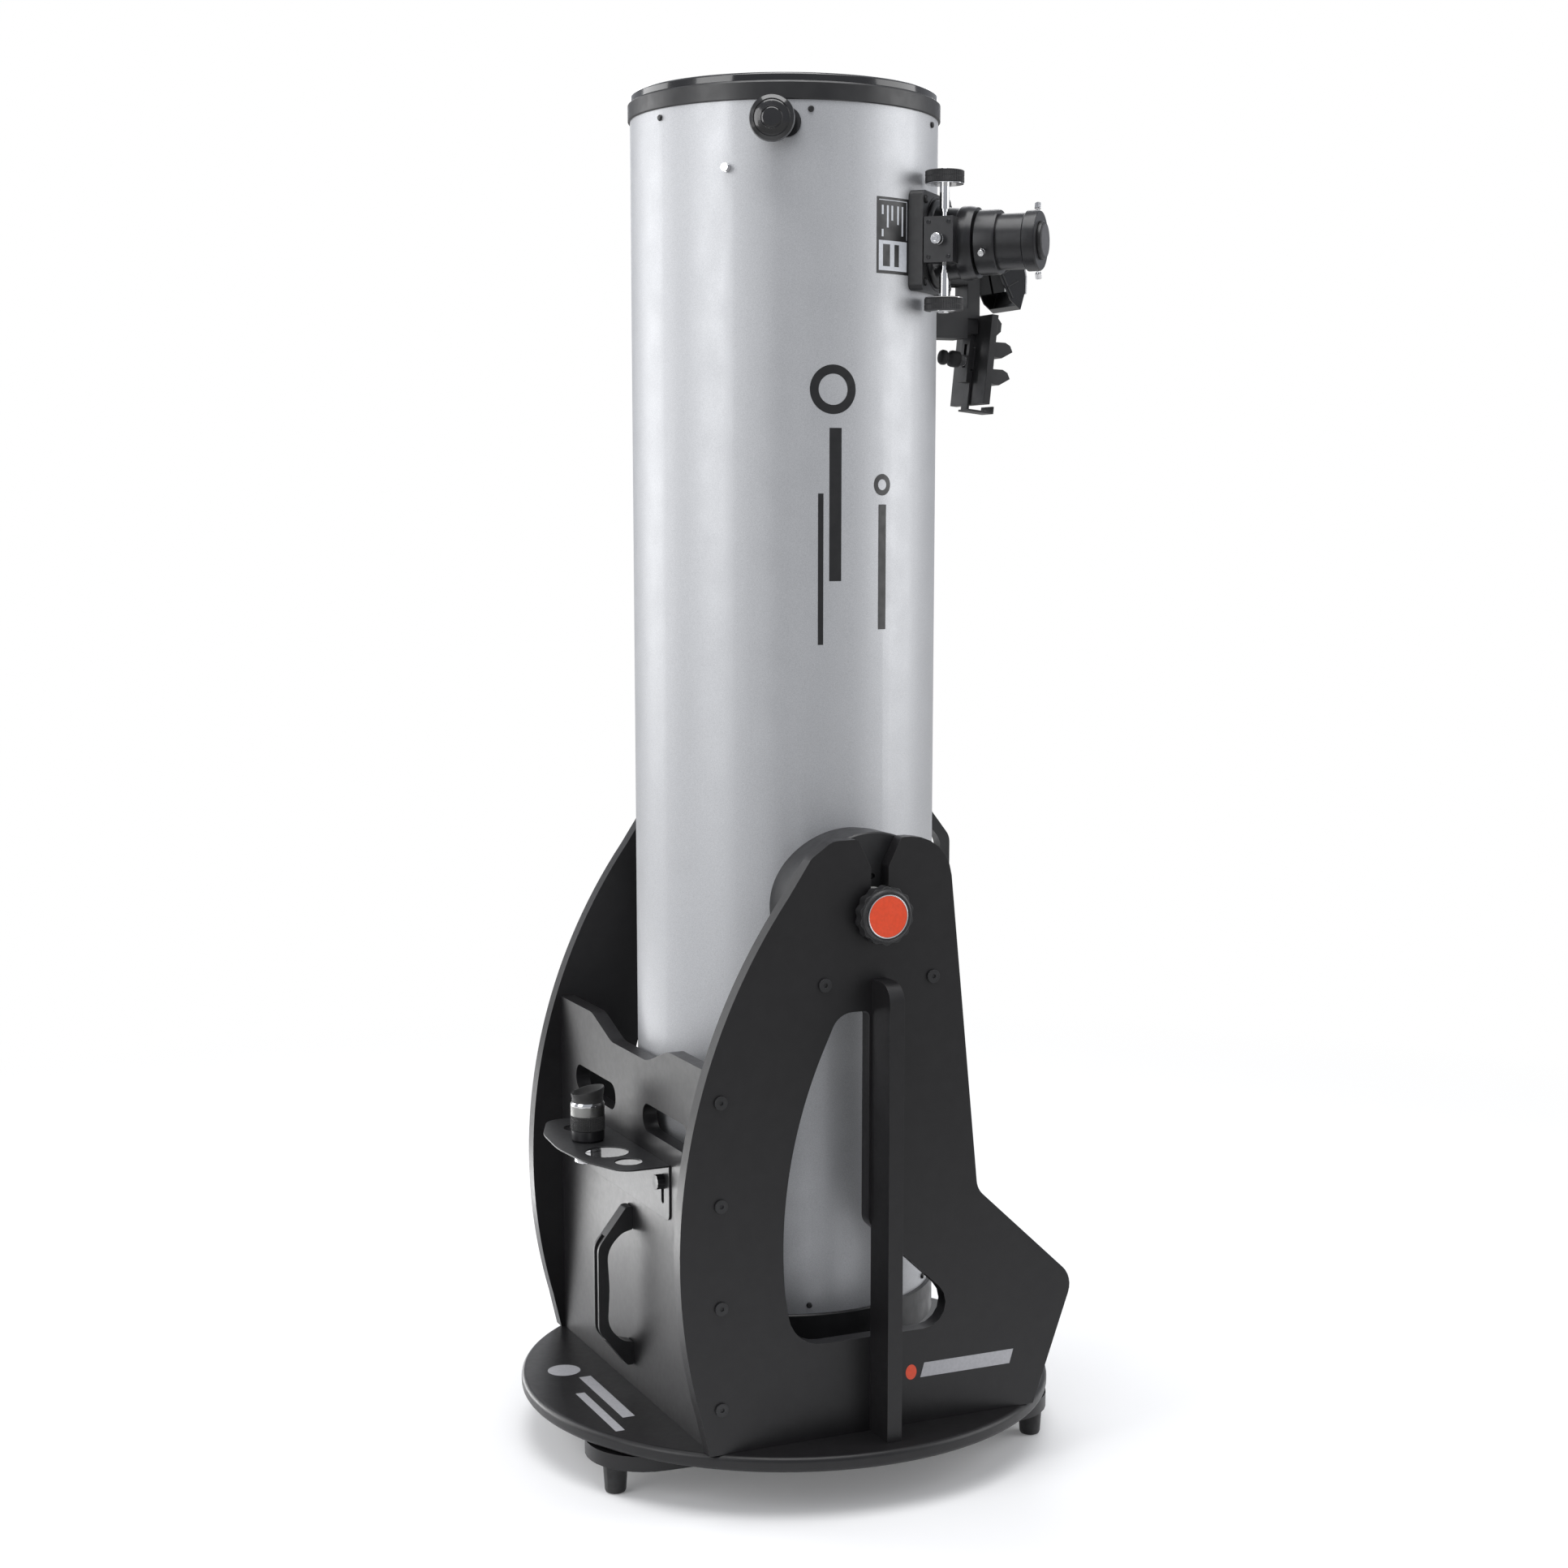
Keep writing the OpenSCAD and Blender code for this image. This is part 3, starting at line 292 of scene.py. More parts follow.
FINISH = {
    "board": laminate(),
    "silver_tube": silver_paint(),
    "black_metal": coated_metal("powder_coat", (0.018, 0.018, 0.019), 0.38),
    "anodised": coated_metal("anodised", (0.014, 0.014, 0.0155), 0.30),
    "black_plastic": moulded("black_plastic", (0.013, 0.013, 0.0138), 0.40),
    "gloss_plastic": gloss_plastic(),
    "rubber": rubber(),
    "chrome": bare_metal("chrome", (0.80, 0.80, 0.81), 0.12),
    "steel": bare_metal("zinc_steel", (0.52, 0.53, 0.55), 0.32, (1, 1, 30)),
    "cast": bare_metal("cast_aluminium", (0.30, 0.31, 0.33), 0.5),
    "nylon": moulded("nylon", (0.72, 0.72, 0.69), 0.45),
    "mirror": mirror_glass(),
}
INK = {
    "black": printed("ink_black", (0.012, 0.012, 0.013), 0.35),
    "white": printed("ink_white", (0.62, 0.64, 0.68), 0.4),
    "pale_grey": printed("ink_pale_grey", (0.42, 0.42, 0.44), 0.45),
    "orange": printed("ink_orange", (0.80, 0.075, 0.022), 0.35),
    "silver": bare_metal("badge_silver", (0.75, 0.76, 0.78), 0.25),
}
SATIN_GREY = bare_metal("satin_band", (0.34, 0.34, 0.33), 0.38)
PLUG_GREY = moulded("plug_grey", (0.055, 0.055, 0.06), 0.55, 1400, 0.3)
SHELL_GREY = moulded("shell_grey", (0.46, 0.46, 0.47), 0.35)
DISC_FACE = moulded("disc_face", (0.012, 0.012, 0.013), 0.50, 2600, 0.10)


# ---------------------------------------------------------------- the CAD nodes' own finish
# Width in millimetres of the small round on each material's sharp edges
EDGE_MM = {"board": 1.2, "black_plastic": 0.5, "gloss_plastic": 0.5, "black_metal": 0.3,
           "anodised": 0.4, "chrome": 0.25, "steel": 0.4, "silver_tube": 0.3}
FINE_NODES = ("tube_screws", "spider_nuts", "base_screws", "clamp_screws", "rack_knobs")
FINE_EDGE_MM = 0.2


def soften(thing, width):
    """Rounds a CAD node's sharp edges with modifiers, which leave its own mesh as packed."""
    weld = thing.modifiers.new("weld", "WELD")
    weld.merge_threshold = 1e-5
    flat = thing.modifiers.new("flat", "DECIMATE")
    flat.decimate_type = "DISSOLVE"
    flat.angle_limit = math.radians(0.2)
    bevel = thing.modifiers.new("bevel", "BEVEL")
    bevel.width = width
    bevel.segments = 2
    bevel.limit_method = "ANGLE"
    bevel.angle_limit = math.radians(38)
    bevel.use_clamp_overlap = True
    shade = thing.modifiers.new("shade", "WEIGHTED_NORMAL")
    shade.keep_sharp = False
    shade.weight = 80


def finish_cad_nodes():
    slots = {p["node"]: p["material_slot"] for p in frame["record"]["subparts"]}
    for name, thing in NODES.items():
        kind = slots[name]
        thing.data.materials.clear()
        thing.data.materials.append(FINISH[kind])
        if kind in EDGE_MM:
            width = FINE_EDGE_MM if name in FINE_NODES else EDGE_MM[kind]
            soften(thing, width * MM)


finish_cad_nodes()


# ---------------------------------------------------------------- mesh building
def turned(x, y, z):
    """A rotation of x, y and z degrees, applied in that order."""
    return (Matrix.Rotation(math.radians(z), 4, "Z") @ Matrix.Rotation(math.radians(y), 4, "Y")
            @ Matrix.Rotation(math.radians(x), 4, "X"))


def moved(x, y, z):
    """A shift by x, y and z in the unit of the frame it is used in."""
    return Matrix.Translation((x, y, z))


class Solid:
    """A mesh drawn in millimetres in a local frame and delivered in metres in the CAD frame."""

    def __init__(self, frame_matrix):
        self.mesh = bmesh.new()
        self.frame = frame_matrix

    def vert(self, place, x, y, z):
        return self.mesh.verts.new(self.frame @ ((place @ Vector((x, y, z))) * MM))

    def lathe(self, outline, place=Matrix.Identity(4), steps=96, teeth=0):
        """Turns a closed outline of (radius, height, tooth depth) points about local Z."""
        rings = []
        for point in outline:
            radius, height = point[0], point[1]
            depth = point[2] if len(point) > 2 else 0
            if radius == 0:
                rings.append([self.vert(place, 0, 0, height)])
                continue
            ring = []
            for step in range(steps):
                turn = TURN * step / steps
                out = radius - depth * (0.5 - 0.5 * math.cos(turn * teeth))
                ring.append(self.vert(place, out * math.cos(turn), out * math.sin(turn), height))
            rings.append(ring)
        for first, second in zip(rings, rings[1:] + rings[:1]):
            if len(first) == 1 and len(second) == 1:
                continue
            for step in range(steps):
                after = (step + 1) % steps
                corners = [first[step % len(first)], first[after % len(first)],
                           second[after % len(second)], second[step % len(second)]]
                unique = list(dict.fromkeys(corners))
                self.mesh.faces.new(unique)

    def prism(self, outline, low, high, place=Matrix.Identity(4)):
        """Pulls a closed 2-D outline along local Z from low to high."""
        bottom = [self.vert(place, x, y, low) for x, y in outline]
        top = [self.vert(place, x, y, high) for x, y in outline]
        self.mesh.faces.new(bottom[::-1])
        self.mesh.faces.new(top)
        count = len(outline)
        for k in range(count):
            after = (k + 1) % count
            self.mesh.faces.new((bottom[k], bottom[after], top[after], top[k]))

    def sheet(self, rows, lift):
        """A closed thin skin over rows of functions that give a point at a height above the surface."""
        low = [[self.mesh.verts.new(point(0.0)) for point in row] for row in rows]
        high = [[self.mesh.verts.new(point(lift)) for point in row] for row in rows]
        for r in range(len(rows) - 1):
            for c in range(len(rows[0]) - 1):
                self.mesh.faces.new((high[r][c], high[r][c + 1], high[r + 1][c + 1], high[r + 1][c]))
                self.mesh.faces.new((low[r][c], low[r + 1][c], low[r + 1][c + 1], low[r][c + 1]))
        rim = [(0, c) for c in range(len(rows[0]))]
        rim += [(r, len(rows[0]) - 1) for r in range(1, len(rows))]
        rim += [(len(rows) - 1, c) for c in range(len(rows[0]) - 2, -1, -1)]
        rim += [(r, 0) for r in range(len(rows) - 2, 0, -1)]
        for (r, c), (r2, c2) in zip(rim, rim[1:] + rim[:1]):
            self.mesh.faces.new((low[r][c], low[r2][c2], high[r2][c2], high[r][c]))

    def done(self, name, finish, body, bevel=0.0, stands_for=(), smooth=40):
        bmesh.ops.recalc_face_normals(self.mesh, faces=self.mesh.faces)
        data = bpy.data.meshes.new(name)
        self.mesh.to_mesh(data)
        self.mesh.free()
        data.materials.append(finish)
        thing = bpy.data.objects.new(name, data)
        bpy.context.scene.collection.objects.link(thing)
        for face in data.polygons:
            face.use_smooth = True
        if bevel > 0:
            rounding = thing.modifiers.new("rounding", "BEVEL")
            rounding.width = bevel * MM
            rounding.segments = 3
            rounding.limit_method = "ANGLE"
            rounding.angle_limit = math.radians(32)
        shade = thing.modifiers.new("shade", "WEIGHTED_NORMAL")
        shade.keep_sharp = True
        shade.weight = 80
        data.set_sharp_from_angle(angle=math.radians(smooth))
        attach(thing, body)
        if stands_for:
            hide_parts(*stands_for)


# ---------------------------------------------------------------- local frames
def along_x(x, y, z, side):
    """Local Z points outwards along X, to the right for side 1 and the left for side -1."""
    return moved(x, y, z) @ turned(0, 90 * side, 0)


FOCUS_TURN = math.degrees(math.atan2(centre_of("focuser_plug").y, centre_of("focuser_plug").x))
FOCUS_Z = centre_of("focus_shaft").z
FOCUSER = moved(0, 0, FOCUS_Z) @ turned(0, 0, FOCUS_TURN)
DOCK = moved(0, TUBE_R, TUBE_Z)
# Carries an outline drawn in (Y, Z) into its place, with the pull along X
UPRIGHT = Matrix(((0, 0, 1, 0), (1, 0, 0, 0), (0, 1, 0, 0), (0, 0, 0, 1)))


def along_local(node, frame_matrix):
    """The span of a node's points along local X, Y and Z of a frame, in millimetres."""
    back = frame_matrix.inverted()
    points = [back @ v.co for v in NODES[node].data.vertices]
    return [(min(p[k] for p in points) / MM, max(p[k] for p in points) / MM) for k in range(3)]


# ---------------------------------------------------------------- tension knob badges
BADGE_R = 24.5
BADGE_RIM = 1.1
BADGE_GAP = 0.05
BADGE_SINK = 1.0


def knob_badges():
    """A plain orange disc with a thin silver rim in the recess of each tension knob."""
    for side, word in ((1, "right"), (-1, "left")):
        place = along_x(side * (KNOB_FACE - BADGE_SINK * MM), 0, ALT_Z, side)
        ring = Solid(place)
        inner = BADGE_R - BADGE_RIM
        ring.lathe([(inner, -0.2), (BADGE_R, -0.2), (BADGE_R, 0.7), (BADGE_R - 0.4, 0.9),
                    (BADGE_R - 0.8, 0.9), (inner, 0.7)])
        ring.done(f"{word}_knob_badge_rim", INK["silver"], f"{word}_knob")
        disc = Solid(place)
        edge = inner - BADGE_GAP
        disc.lathe([(0, -0.2), (edge, -0.2), (edge, 0.5), (12, 0.62), (0, 0.66)])
        disc.done(f"{word}_knob_badge", INK["orange"], f"{word}_knob")


# ---------------------------------------------------------------- eyepiece
GRIP_RIBS = 9
GRIP_PITCH = 1.86


def eyepiece_parts():
    """Chrome barrel, black body, ribbed rubber grip, satin band, bright ring and a winged eyecup."""
    middle = centre_of("eyepiece")
    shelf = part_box("eyepiece_rack")[1].z
    spot = Matrix.Translation((middle.x, middle.y, shelf))
    barrel = Solid(spot)
    barrel.lathe([(13.6, -26), (15, -26), (15.8, -25.2), (15.8, -12), (15.1, -11.4), (15.1, -9.0),
                  (15.8, -8.4), (15.8, 0.3), (13.6, 0.3)])
    barrel.done("eyepiece_barrel", FINISH["chrome"], "eyepiece", stands_for=("eyepiece",))
    body = Solid(spot)
    body.lathe([(0, 0.35), (18.2, 0.35), (19.4, 1.6), (19.8, 3), (19.8, 13.4), (18.6, 13.9),
                (18.6, 31.4), (17.6, 46), (15, 48), (0, 46)])
    body.done("eyepiece_body", FINISH["anodised"], "eyepiece")
    grip = Solid(spot)
    ribs = []
    for k in range(GRIP_RIBS):
        z = 14.2 + k * GRIP_PITCH
        ribs += [(20.5, z, 0.5), (20.5, z + 1.15, 0.5), (19.9, z + 1.4), (19.9, z + 1.7)]
    grip.lathe([(18.7, 14.0)] + ribs + [(18.7, 31.0)], steps=240, teeth=60)
    grip.done("eyepiece_grip", FINISH["rubber"], "eyepiece")
    band = Solid(spot)
    band.lathe([(18.7, 31.3), (20.0, 31.3), (20.2, 31.8), (20.2, 42.4), (19.8, 43.0), (17.9, 43.0)])
    band.done("eyepiece_band", SATIN_GREY, "eyepiece")
    ring = Solid(spot)
    ring.lathe([(17.9, 43.1), (19.9, 43.1), (20.1, 43.6), (20.1, 45.2), (18.9, 47.4), (17.5, 47.4)])
    ring.done("eyepiece_ring", FINISH["chrome"], "eyepiece")
    eyecup(spot)


CUP_STEPS = 72
WING_AT = math.radians(75)
WING_RISE = 4.4
WING_FLARE = 0.05
# Radius, height and share of the wing's rise, up the outside and down the inside
CUP_OUTLINE = ((16.2, 47.5, 0), (18.4, 47.5, 0), (18.6, 50.0, 0.1), (18.2, 51.4, 0.15),
               (19.0, 53.2, 0.35), (19.6, 56.0, 0.9), (19.3, 57.0, 1.0), (18.3, 56.6, 1.0),
               (17.3, 54.0, 0.6), (15.8, 51.5, 0.1), (13.5, 50.0, 0))


def eyecup(spot):
    """A soft cup whose rim rises into a wing on one side."""
    cup = Solid(spot)
    rows = []
    for radius, height, rise in CUP_OUTLINE:
        ring = []
        for step in range(CUP_STEPS):
            turn = TURN * step / CUP_STEPS
            lift = rise * WING_RISE * (1 + math.cos(turn - WING_AT))
            out = radius + WING_FLARE * lift
            ring.append(cup.vert(Matrix.Identity(4), out * math.cos(turn), out * math.sin(turn),
                                 height + lift))
        rows.append(ring)
    for first, second in zip(rows, rows[1:] + rows[:1]):
        for step in range(CUP_STEPS):
            after = (step + 1) % CUP_STEPS
            cup.mesh.faces.new((first[step], first[after], second[after], second[step]))
    cup.done("winged_eyecup", FINISH["rubber"], "eyepiece", stands_for=("eyecup",), smooth=60)


# ---------------------------------------------------------------- focuser
def knurled_head(solid, place, radius, length, teeth):
    """A turned head with a straight knurl between two chamfers and a shallow dish in its end."""
    solid.lathe([(0, 0), (radius - 0.5, 0), (radius, 0.5), (radius, 0.6, 0.45),
                 (radius, length - 0.6, 0.45), (radius, length - 0.5), (radius - 0.5, length),
                 (radius * 0.55, length), (radius * 0.5, length - 0.35), (0, length - 0.35)],
                place, steps=teeth * 6, teeth=teeth)


FOCUS_KNOB_H = 14


def focuser_parts():
    """Knurled focusing knobs with bright ends."""
    shaft = along_local("focus_shaft", FOCUSER)
    shaft_x, shaft_y = sum(shaft[0]) / 2, sum(shaft[1]) / 2
    knobs = along_local("focus_knobs", FOCUSER)
    half, knob_r = knobs[2][1], (knobs[0][1] - knobs[0][0]) / 2
    grips = Solid(FOCUSER)
    caps = Solid(FOCUSER)
    for side in (1, -1):
        place = moved(shaft_x, shaft_y, 0) @ turned(0 if side == 1 else 180, 0, 0)
        inner = half - FOCUS_KNOB_H
        outer = half - 0.2
        groove = (inner + half) / 2
        grips.lathe([(3.2, inner), (knob_r - 1, inner), (knob_r, inner + 0.8), (knob_r, inner + 1, 0.55),
                     (knob_r, groove - 0.5, 0.55), (knob_r - 0.6, groove - 0.2),
                     (knob_r - 0.6, groove + 0.2), (knob_r, groove + 0.5, 0.55),
                     (knob_r, outer - 1, 0.55), (knob_r, outer - 0.8), (knob_r - 1, outer), (3.2, outer)],
                    place, steps=432, teeth=72)
        caps.lathe([(3.3, half - 0.3), (14.5, half - 0.3), (14.5, half + 0.4), (13.8, half + 0.9),
                    (6.5, half + 1.1), (5.5, half + 2.2), (0, half + 2.6), (0, half - 0.3)], place)
        caps.lathe([(5.6, inner - 1.1), (knob_r - 0.7, inner - 1.1), (knob_r - 0.4, inner - 0.8),
                    (knob_r - 0.6, inner - 0.1), (5.6, inner - 0.1)], place)
    grips.done("focus_knob_grips", DISC_FACE, "focus_spindle", stands_for=("focus_knobs",))
    caps.done("focus_knob_caps", FINISH["chrome"], "focus_spindle")


def socket_head(solid, place, radius, height):
    """A small round screw head with a sunk socket."""
    solid.lathe([(0, 0), (radius, 0), (radius, height * 0.7), (radius - 0.3, height),
                 (radius * 0.5, height), (radius * 0.45, height * 0.4), (0, height * 0.4)],
                place, steps=36)


def focuser_fixings():
    """The turned rim on the base plate and the four small screws of the shaft block."""
    plate = along_local("focuser_base", FOCUSER)
    rim = Solid(FOCUSER)
    rim.lathe([(50.3, -0.2), (52.0, -0.2), (52.0, 0.5), (51.7, 0.8), (50.6, 0.8), (50.3, 0.5)],
              moved(plate[0][1], 0, 0) @ turned(0, 90, 0), steps=144)
    rim.done("focuser_base_rim", FINISH["anodised"], "tube")
    shaft = along_local("focus_shaft", FOCUSER)
    block_face = along_local("focuser_body", FOCUSER)[1][0]
    screws = Solid(FOCUSER)
    for across in (-11.5, 11.5):
        for up in (-19, 19):
            place = moved(sum(shaft[0]) / 2 + across, block_face, up) @ turned(90, 0, 0)
            socket_head(screws, place, 2.4, 1.1)
    screws.done("focuser_block_screws", FINISH["gloss_plastic"], "tube")


LOCK_HEAD_H = 11


def thumbscrews():
    """Bright knurled screws: three in the adapter, one in the collar and the focus lock.

    A seat is the place along the focuser's axis, the shank's start from that axis and its length.
    """
    clamps = Solid(FOCUSER)
    adapter_end = along_local("eyepiece_adapter", FOCUSER)[0][1]
    collar_end = along_local("drawtube", FOCUSER)[0][1]
    in_adapter = (adapter_end - 7, 18, 20)
    in_collar = (collar_end - 12, 26, 15)
    for turn, seat in ((75, in_adapter), (5, in_adapter), (-65, in_adapter), (200, in_collar)):
        out_x, start, length = seat
        end = start + length
        place = turned(turn - 90, 0, 0) @ moved(out_x, 0, 0)
        clamps.lathe([(0, start), (1.5, start), (1.5, end), (2.6, end), (0, end)], place, steps=24)
        knurled_head(clamps, place @ moved(0, 0, end - 1), 3.6, 7, 20)
    clamps.done("clamp_thumbscrews", FINISH["chrome"], "drawtube", stands_for=("clamp_screws",))
    lock = Solid(FOCUSER)
    span = along_local("focuser_lock_screw", FOCUSER)
    place = moved(sum(span[0]) / 2, span[1][1], 0) @ turned(90, 0, 0)
    neck = span[1][1] - span[1][0] - LOCK_HEAD_H
    lock.lathe([(0, 0), (2.5, 0), (2.5, neck + 0.1), (0, neck + 0.1)], place, steps=32)
    knurled_head(lock, place @ moved(0, 0, neck), 6, LOCK_HEAD_H, 28)
    lock.done("focus_lock_thumbscrew", FINISH["chrome"], "focus_lock", stands_for=("focuser_lock_screw",))


def plug_details():
    """A slightly raised, pebbled grey face on the dust plug."""
    span = along_local("focuser_plug", FOCUSER)
    place = moved(span[0][1], 0, 0) @ turned(0, 90, 0)
    radius = (span[1][1] - span[1][0]) / 2 - 3.2
    pad = Solid(FOCUSER)
    pad.lathe([(0, -0.1), (radius, -0.1), (radius, 0.25), (radius - 0.8, 0.5), (0, 0.5)], place)
    pad.done("plug_face", PLUG_GREY, "plug")


# ---------------------------------------------------------------- printed films on the tube
FILM_GAP = 0.02
FILM_THIN, FILM_MARK, FILM_MIDDLE, FILM_THICK = 0.10, 0.12, 0.16, 0.22
MARK_HALF = 0.42
RING_STEPS = 64


def film(name, ink, start, end, low, high, lift):
    """A thin patch on the tube from start to end degrees and low to high millimetres up the tube."""
    skin = Solid(Matrix.Identity(4))
    columns = max(2, int((end - start) / 2) + 1)
    rows = []
    for z in (low, high):
        row = []
        for step in range(columns + 1):
            turn = math.radians(start + (end - start) * step / columns)

            def point(up, turn=turn, z=z):
                out = TUBE_R + (FILM_GAP + up) * MM
                return Vector((out * math.cos(turn), out * math.sin(turn), TUBE_Z + z * MM))
            row.append(point)
        rows.append(row)
    skin.sheet(rows, lift)
    skin.done(name, ink, "tube")


def ring_film(name, ink, middle, height, outer, inner):
    """A plain ring wrapped on the tube, its centre at middle degrees and height millimetres."""
    skin = Solid(Matrix.Identity(4))
    between = (inner + outer) / 2
    loops = []
    for radius, up in ((inner, 0), (between, 0), (outer, 0),
                       (outer, FILM_MARK), (between, FILM_MARK), (inner, FILM_MARK)):
        loop = []
        for step in range(RING_STEPS):
            turn = TURN * step / RING_STEPS
            around = math.radians(middle) + radius * MM * math.cos(turn) / TUBE_R
            out = TUBE_R + (FILM_GAP + up) * MM
            loop.append(skin.mesh.verts.new((out * math.cos(around), out * math.sin(around),
                                             TUBE_Z + (height + radius * math.sin(turn)) * MM)))
        loops.append(loop)
    for first, second in zip(loops, loops[1:] + loops[:1]):
        for step in range(RING_STEPS):
            after = (step + 1) % RING_STEPS
            skin.mesh.faces.new((first[step], first[after], second[after], second[step]))
    skin.done(name, ink, "tube")


def tube_prints():
    """Plain bars and rings where a maker's markings would sit, with no lettering."""
    film("label_border", INK["black"], 10.7, 27.1, 1232, 1315, FILM_THIN)
    film("label_pale", INK["white"], 11.7, 26.0, 1235.5, 1268, FILM_MIDDLE)
    film("label_line_top", INK["white"], 11.7, 26.0, 1311.2, 1312.0, FILM_MIDDLE)
    film("label_line_side", INK["white"], 25.75, 26.0, 1270, 1311, FILM_MIDDLE)
    for k, (at, low, high) in enumerate(((23.4, 1274, 1306), (21.0, 1286, 1306), (18.0, 1290, 1306),
                                         (15.8, 1282, 1306), (13.4, 1296, 1306), (13.4, 1272, 1280))):
        film(f"label_mark_{k}", INK["white"], at - MARK_HALF, at + MARK_HALF, low, high, FILM_MIDDLE)
    film("label_bar_wide", INK["black"], 13.6, 17.0, 1240, 1264, FILM_THICK)
    film("label_bar_thin", INK["black"], 19.2, 21.6, 1240, 1264, FILM_THICK)
    ring_film("tube_mark_ring", INK["black"], -6.6, 1104, 27, 17)
    film("tube_mark_bar_long", INK["black"], -8.0, -3.4, 893, 1062, FILM_MARK)
    film("tube_mark_bar_short", INK["black"], -12.2, -10.2, 822, 990, FILM_MARK)
    ring_film("tube_mark_dot", INK["black"], 13.9, 1000, 12, 6)
    film("tube_mark_bar_side", INK["black"], 12.3, 15.8, 838, 978, FILM_MARK)


# ---------------------------------------------------------------- prints on the boards
def board_print(name, ink, corners, place, body):
    """A thin flat print given by its outline in a board's own plane."""
    skin = Solid(place)
    skin.prism(corners, FILM_GAP, FILM_GAP + FILM_MARK)
    skin.done(name, ink, body)


def ellipse(x, y, wide, high, steps=48):
    return [(x + wide * math.cos(TURN * k / steps), y + high * math.sin(TURN * k / steps))
            for k in range(steps)]


def bar(x, y, length, high, slant=0.0):
    return [(x, y), (x + length, y), (x + length + slant, y + high), (x + slant, y + high)]


def board_prints():
    """Pale bars and a disc on the round board's front edge and low on each side board."""
    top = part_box("azimuth_board")[1].z
    place = moved(0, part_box("front_board")[0].y, top)
    board_print("round_board_disc", INK["pale_grey"], ellipse(-80, -58, 20, 20), place, "rocker")
    board_print("round_board_bar_long", INK["pale_grey"], bar(-48, -50, 150, 15), place, "rocker")
    board_print("round_board_bar_short", INK["pale_grey"], bar(4, -73, 136, 11), place, "rocker")
    for side, word in ((1, "right"), (-1, "left")):
        face = moved(side * SIDE_OUT, 0, BOARD_TOP) @ turned(90, 0, 90 * side)
        dot = ellipse(44 * side, 62, 7, 9)
        board_print(f"{word}_board_dot", INK["orange"], dot, face, "rocker")
        start = 56 if side == 1 else -176
        board_print(f"{word}_board_bar", INK["pale_grey"], bar(start, 54, 118, 17, 5), face, "rocker")


# ---------------------------------------------------------------- dock details
def dock_parts():
    """The mirror hood's pale outer shell and the ribs on its cheeks."""
    half = along_local("dock_housing", DOCK)[0][1]
    outer = [(93, 1317.6), (104.8, 1304.2), (115.2, 1288.8), (123.5, 1270.6), (127.8, 1250),
             (127.8, 1230)]
    shell_line = outer + [(y - 1.7, z - 0.6) for y, z in reversed(outer)]
    shell = Solid(DOCK @ UPRIGHT)
    shell.prism(shell_line, -half - 1.2, half + 1.2)
    shell.done("dock_outer_shell", SHELL_GREY, "tube", bevel=0.6)
    ribs = Solid(DOCK @ UPRIGHT)
    for near, far in ((half - 0.2, half + 0.9), (-half - 0.9, -half + 0.2)):
        for k in range(4):
            z = 1236 + 15 * k
            y = 101 - 7.2 * k
            ribs.prism([(y, z), (y + 15, z + 8), (y + 15, z + 9.2), (y, z + 1.2)], near, far)
        ribs.prism([(79, 1278), (108, 1224), (109.6, 1224.8), (80.6, 1279)], near, far)
    ribs.done("dock_housing_ribs", FINISH["black_plastic"], "tube")


TRAY_TILT = math.radians(-6)


def tray_knob():
    """A rubber double bulb on a knurled bright collar."""
    low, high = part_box("dock_knob")
    middle = (low + high) / 2
    direction = Vector((0, -math.cos(TRAY_TILT), -math.sin(TRAY_TILT)))
    length = (high.y - low.y) / math.cos(TRAY_TILT)
    place = (Matrix.Translation(middle - direction * length / 2)
             @ direction.to_track_quat("Z", "Y").to_matrix().to_4x4())
    collar = Solid(place)
    total = length / MM
    collar.lathe([(0, 0), (3, 0), (3, 5.2), (6.2, 5.4), (6.6, 5.9), (6.6, 6.0, 0.4), (6.6, 12.0, 0.4),
                  (6.6, 12.2), (6.0, 12.8), (0, 12.8)], steps=144, teeth=24)
    collar.done("tray_knob_collar", FINISH["chrome"], "tray_knob")
    bulb = Solid(place)
    bulb.lathe([(0, 12.9), (7.5, 12.9), (9.6, 14.2), (10, 17), (10, 22.5), (9.2, 25.2), (6.6, 27.0),
                (6.2, 28.5), (6.6, 30.2), (8.6, 31.6), (9.0, 34.0), (9.0, total - 3.0), (7.8, total - 0.8),
                (5.0, total), (0, total)], steps=96)
    bulb.done("tray_knob_bulb", FINISH["rubber"], "tray_knob", stands_for=("dock_knob",), smooth=60)


knob_badges()
eyepiece_parts()
focuser_parts()
focuser_fixings()
thumbscrews()
plug_details()
tube_prints()
board_prints()
dock_parts()
tray_knob()


# ---------------------------------------------------------------- floor, light and camera
# The camera's azimuth and downward tilt, and its distance and height in metres
VIEW_AZIMUTH = math.radians(65.5)
VIEW_DOWN = math.radians(8.5)
VIEW_FAR = 2.97
VIEW_HIGH = 1.115
LENS_MM = 57.0
SENSOR_MM = 36.0
FLOOR_GLOW = 0.45
AIR_GLOW = 0.43


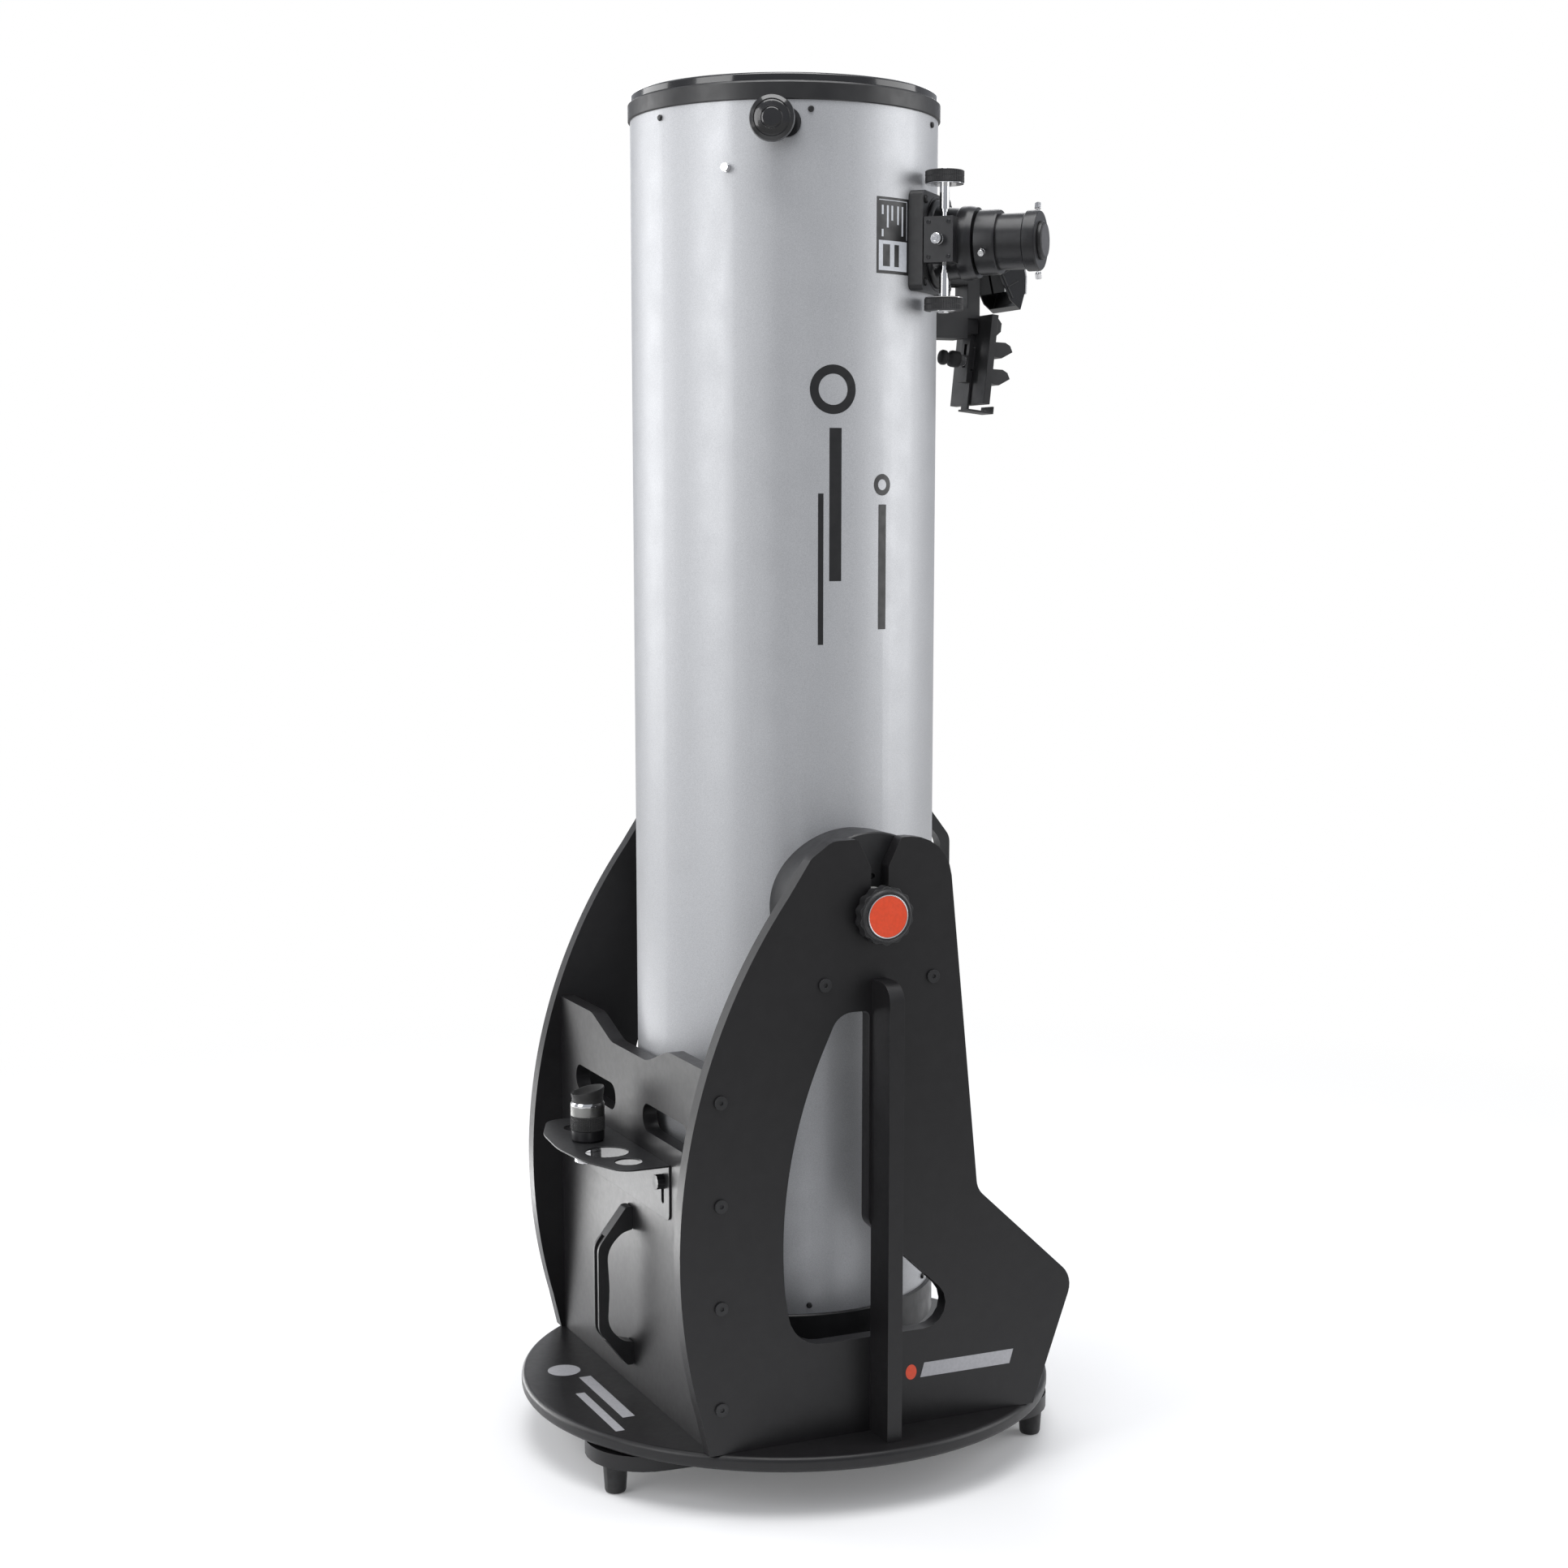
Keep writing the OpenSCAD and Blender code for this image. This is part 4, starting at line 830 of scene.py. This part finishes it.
def build_stage():
    """A pale floor that catches soft shadows near the object and fades to glowing white far away.

    The glow has full strength for the camera only, and is weaker in reflections and bounces.
    """
    floor = bmesh.new()
    bmesh.ops.create_circle(floor, cap_ends=True, segments=128, radius=30)
    mesh = bpy.data.meshes.new("studio_floor")
    floor.to_mesh(mesh)
    floor.free()
    thing = bpy.data.objects.new("studio_floor", mesh)
    bpy.context.scene.collection.objects.link(thing)
    paper = Shader("studio_paper", (0.88, 0.88, 0.885), 0.8)
    cloud = paper.ramp(paper.noise(0.8, 3), 0.0, 1.0)
    paper.colors(cloud, (0.875, 0.875, 0.88), (0.89, 0.89, 0.895))
    paper.surface.inputs["Specular IOR Level"].default_value = 0.1
    glow = paper.node("ShaderNodeEmission")
    glow.inputs["Color"].default_value = (1, 1, 1, 1)
    ray = paper.node("ShaderNodeLightPath")
    shown = paper.ramp(ray.outputs["Is Camera Ray"], FLOOR_GLOW, 1.0, 0.0, 1.0)
    paper.link(shown, glow.inputs["Strength"])
    away = paper.node("ShaderNodeVectorMath", operation="LENGTH")
    paper.link(paper.place, away.inputs[0])
    fade = paper.ramp(away.outputs["Value"], 0.12, 1.0, 0.55, 2.6)
    blend = paper.node("ShaderNodeMixShader")
    paper.link(fade, blend.inputs["Fac"])
    paper.link(paper.surface.outputs["BSDF"], blend.inputs[1])
    paper.link(glow.outputs["Emission"], blend.inputs[2])
    paper.link(blend.outputs["Shader"], paper.tree.nodes["Material Output"].inputs["Surface"])
    mesh.materials.append(paper.material)


def standing_at(azimuth, far, height):
    """A point at an azimuth round the object, counted from the front."""
    return Vector((far * math.sin(azimuth), -far * math.cos(azimuth), height))


def soft_box(name, azimuth, height, far, size, watts, target_z, spread=180):
    """An area light standing at an azimuth round the object and aimed at a height on its axis."""
    lamp = bpy.data.lights.new(name, "AREA")
    lamp.spread = math.radians(spread)
    lamp.shape = "RECTANGLE"
    lamp.size, lamp.size_y = size
    lamp.energy = watts
    holder = bpy.data.objects.new(name, lamp)
    bpy.context.scene.collection.objects.link(holder)
    holder.location = standing_at(math.radians(azimuth), far, height)
    aim = Vector((0, 0, target_z)) - holder.location
    holder.rotation_euler = aim.to_track_quat("-Z", "Y").to_euler()
    holder.visible_camera = False


def build_light():
    """Plain white air for the camera, dim grey air for reflections, and seven soft boxes."""
    world = bpy.data.worlds.new("studio_air")
    world.use_nodes = True
    tree = world.node_tree
    seen = tree.nodes["Background"]
    seen.inputs["Color"].default_value = (1, 1, 1, 1)
    seen.inputs["Strength"].default_value = 1.0
    felt = tree.nodes.new("ShaderNodeBackground")
    felt.inputs["Color"].default_value = (0.90, 0.93, 1.0, 1)
    felt.inputs["Strength"].default_value = AIR_GLOW
    ray = tree.nodes.new("ShaderNodeLightPath")
    both = tree.nodes.new("ShaderNodeMixShader")
    tree.links.new(ray.outputs["Is Camera Ray"], both.inputs["Fac"])
    tree.links.new(felt.outputs["Background"], both.inputs[1])
    tree.links.new(seen.outputs["Background"], both.inputs[2])
    tree.links.new(both.outputs["Shader"], tree.nodes["World Output"].inputs["Surface"])
    bpy.context.scene.world = world
    # Name, azimuth in degrees, height, distance, width and height, watts, aim height, spread
    soft_box("key", 14, 1.9, 3.2, (1.6, 2.4), 44, 0.9)
    soft_box("left_low", -66, 0.17, 1.30, (1.3, 0.32), 0.6, 0.08, 70)
    soft_box("left_floor", -55, 0.07, 0.95, (0.9, 0.12), 0.7, 0.07, 90)
    soft_box("left_tall", -44, 1.50, 2.8, (1.6, 2.0), 30, 1.0)
    soft_box("right", 156, 1.6, 3.0, (2.2, 2.4), 42, 0.8)
    soft_box("overhead", 68, 3.9, 0.7, (2.6, 2.6), 95, 0.0)
    soft_box("behind", 246, 2.6, 3.2, (2.2, 2.0), 30, 0.8)


def build_camera():
    """Tilted down a little, with the lens shifted to keep the object in the picture's middle."""
    lens = bpy.data.cameras.new("studio_camera")
    lens.lens = LENS_MM
    lens.sensor_width = SENSOR_MM
    lens.clip_end = 60
    eye = bpy.data.objects.new("studio_camera", lens)
    bpy.context.scene.collection.objects.link(eye)
    eye.location = standing_at(VIEW_AZIMUTH, VIEW_FAR, VIEW_HIGH)
    eye.rotation_euler = (math.pi / 2 - VIEW_DOWN, 0, VIEW_AZIMUTH)
    slope = math.atan((VIEW_HIGH - (cad_low.z + cad_high.z) / 2) / VIEW_FAR)
    lens.shift_y = math.tan(VIEW_DOWN - slope) * LENS_MM / SENSOR_MM
    bpy.context.scene.camera = eye


build_stage()
build_light()
build_camera()
bpy.context.scene.view_settings.view_transform = "Standard"
bpy.context.scene.view_settings.exposure = 0.0
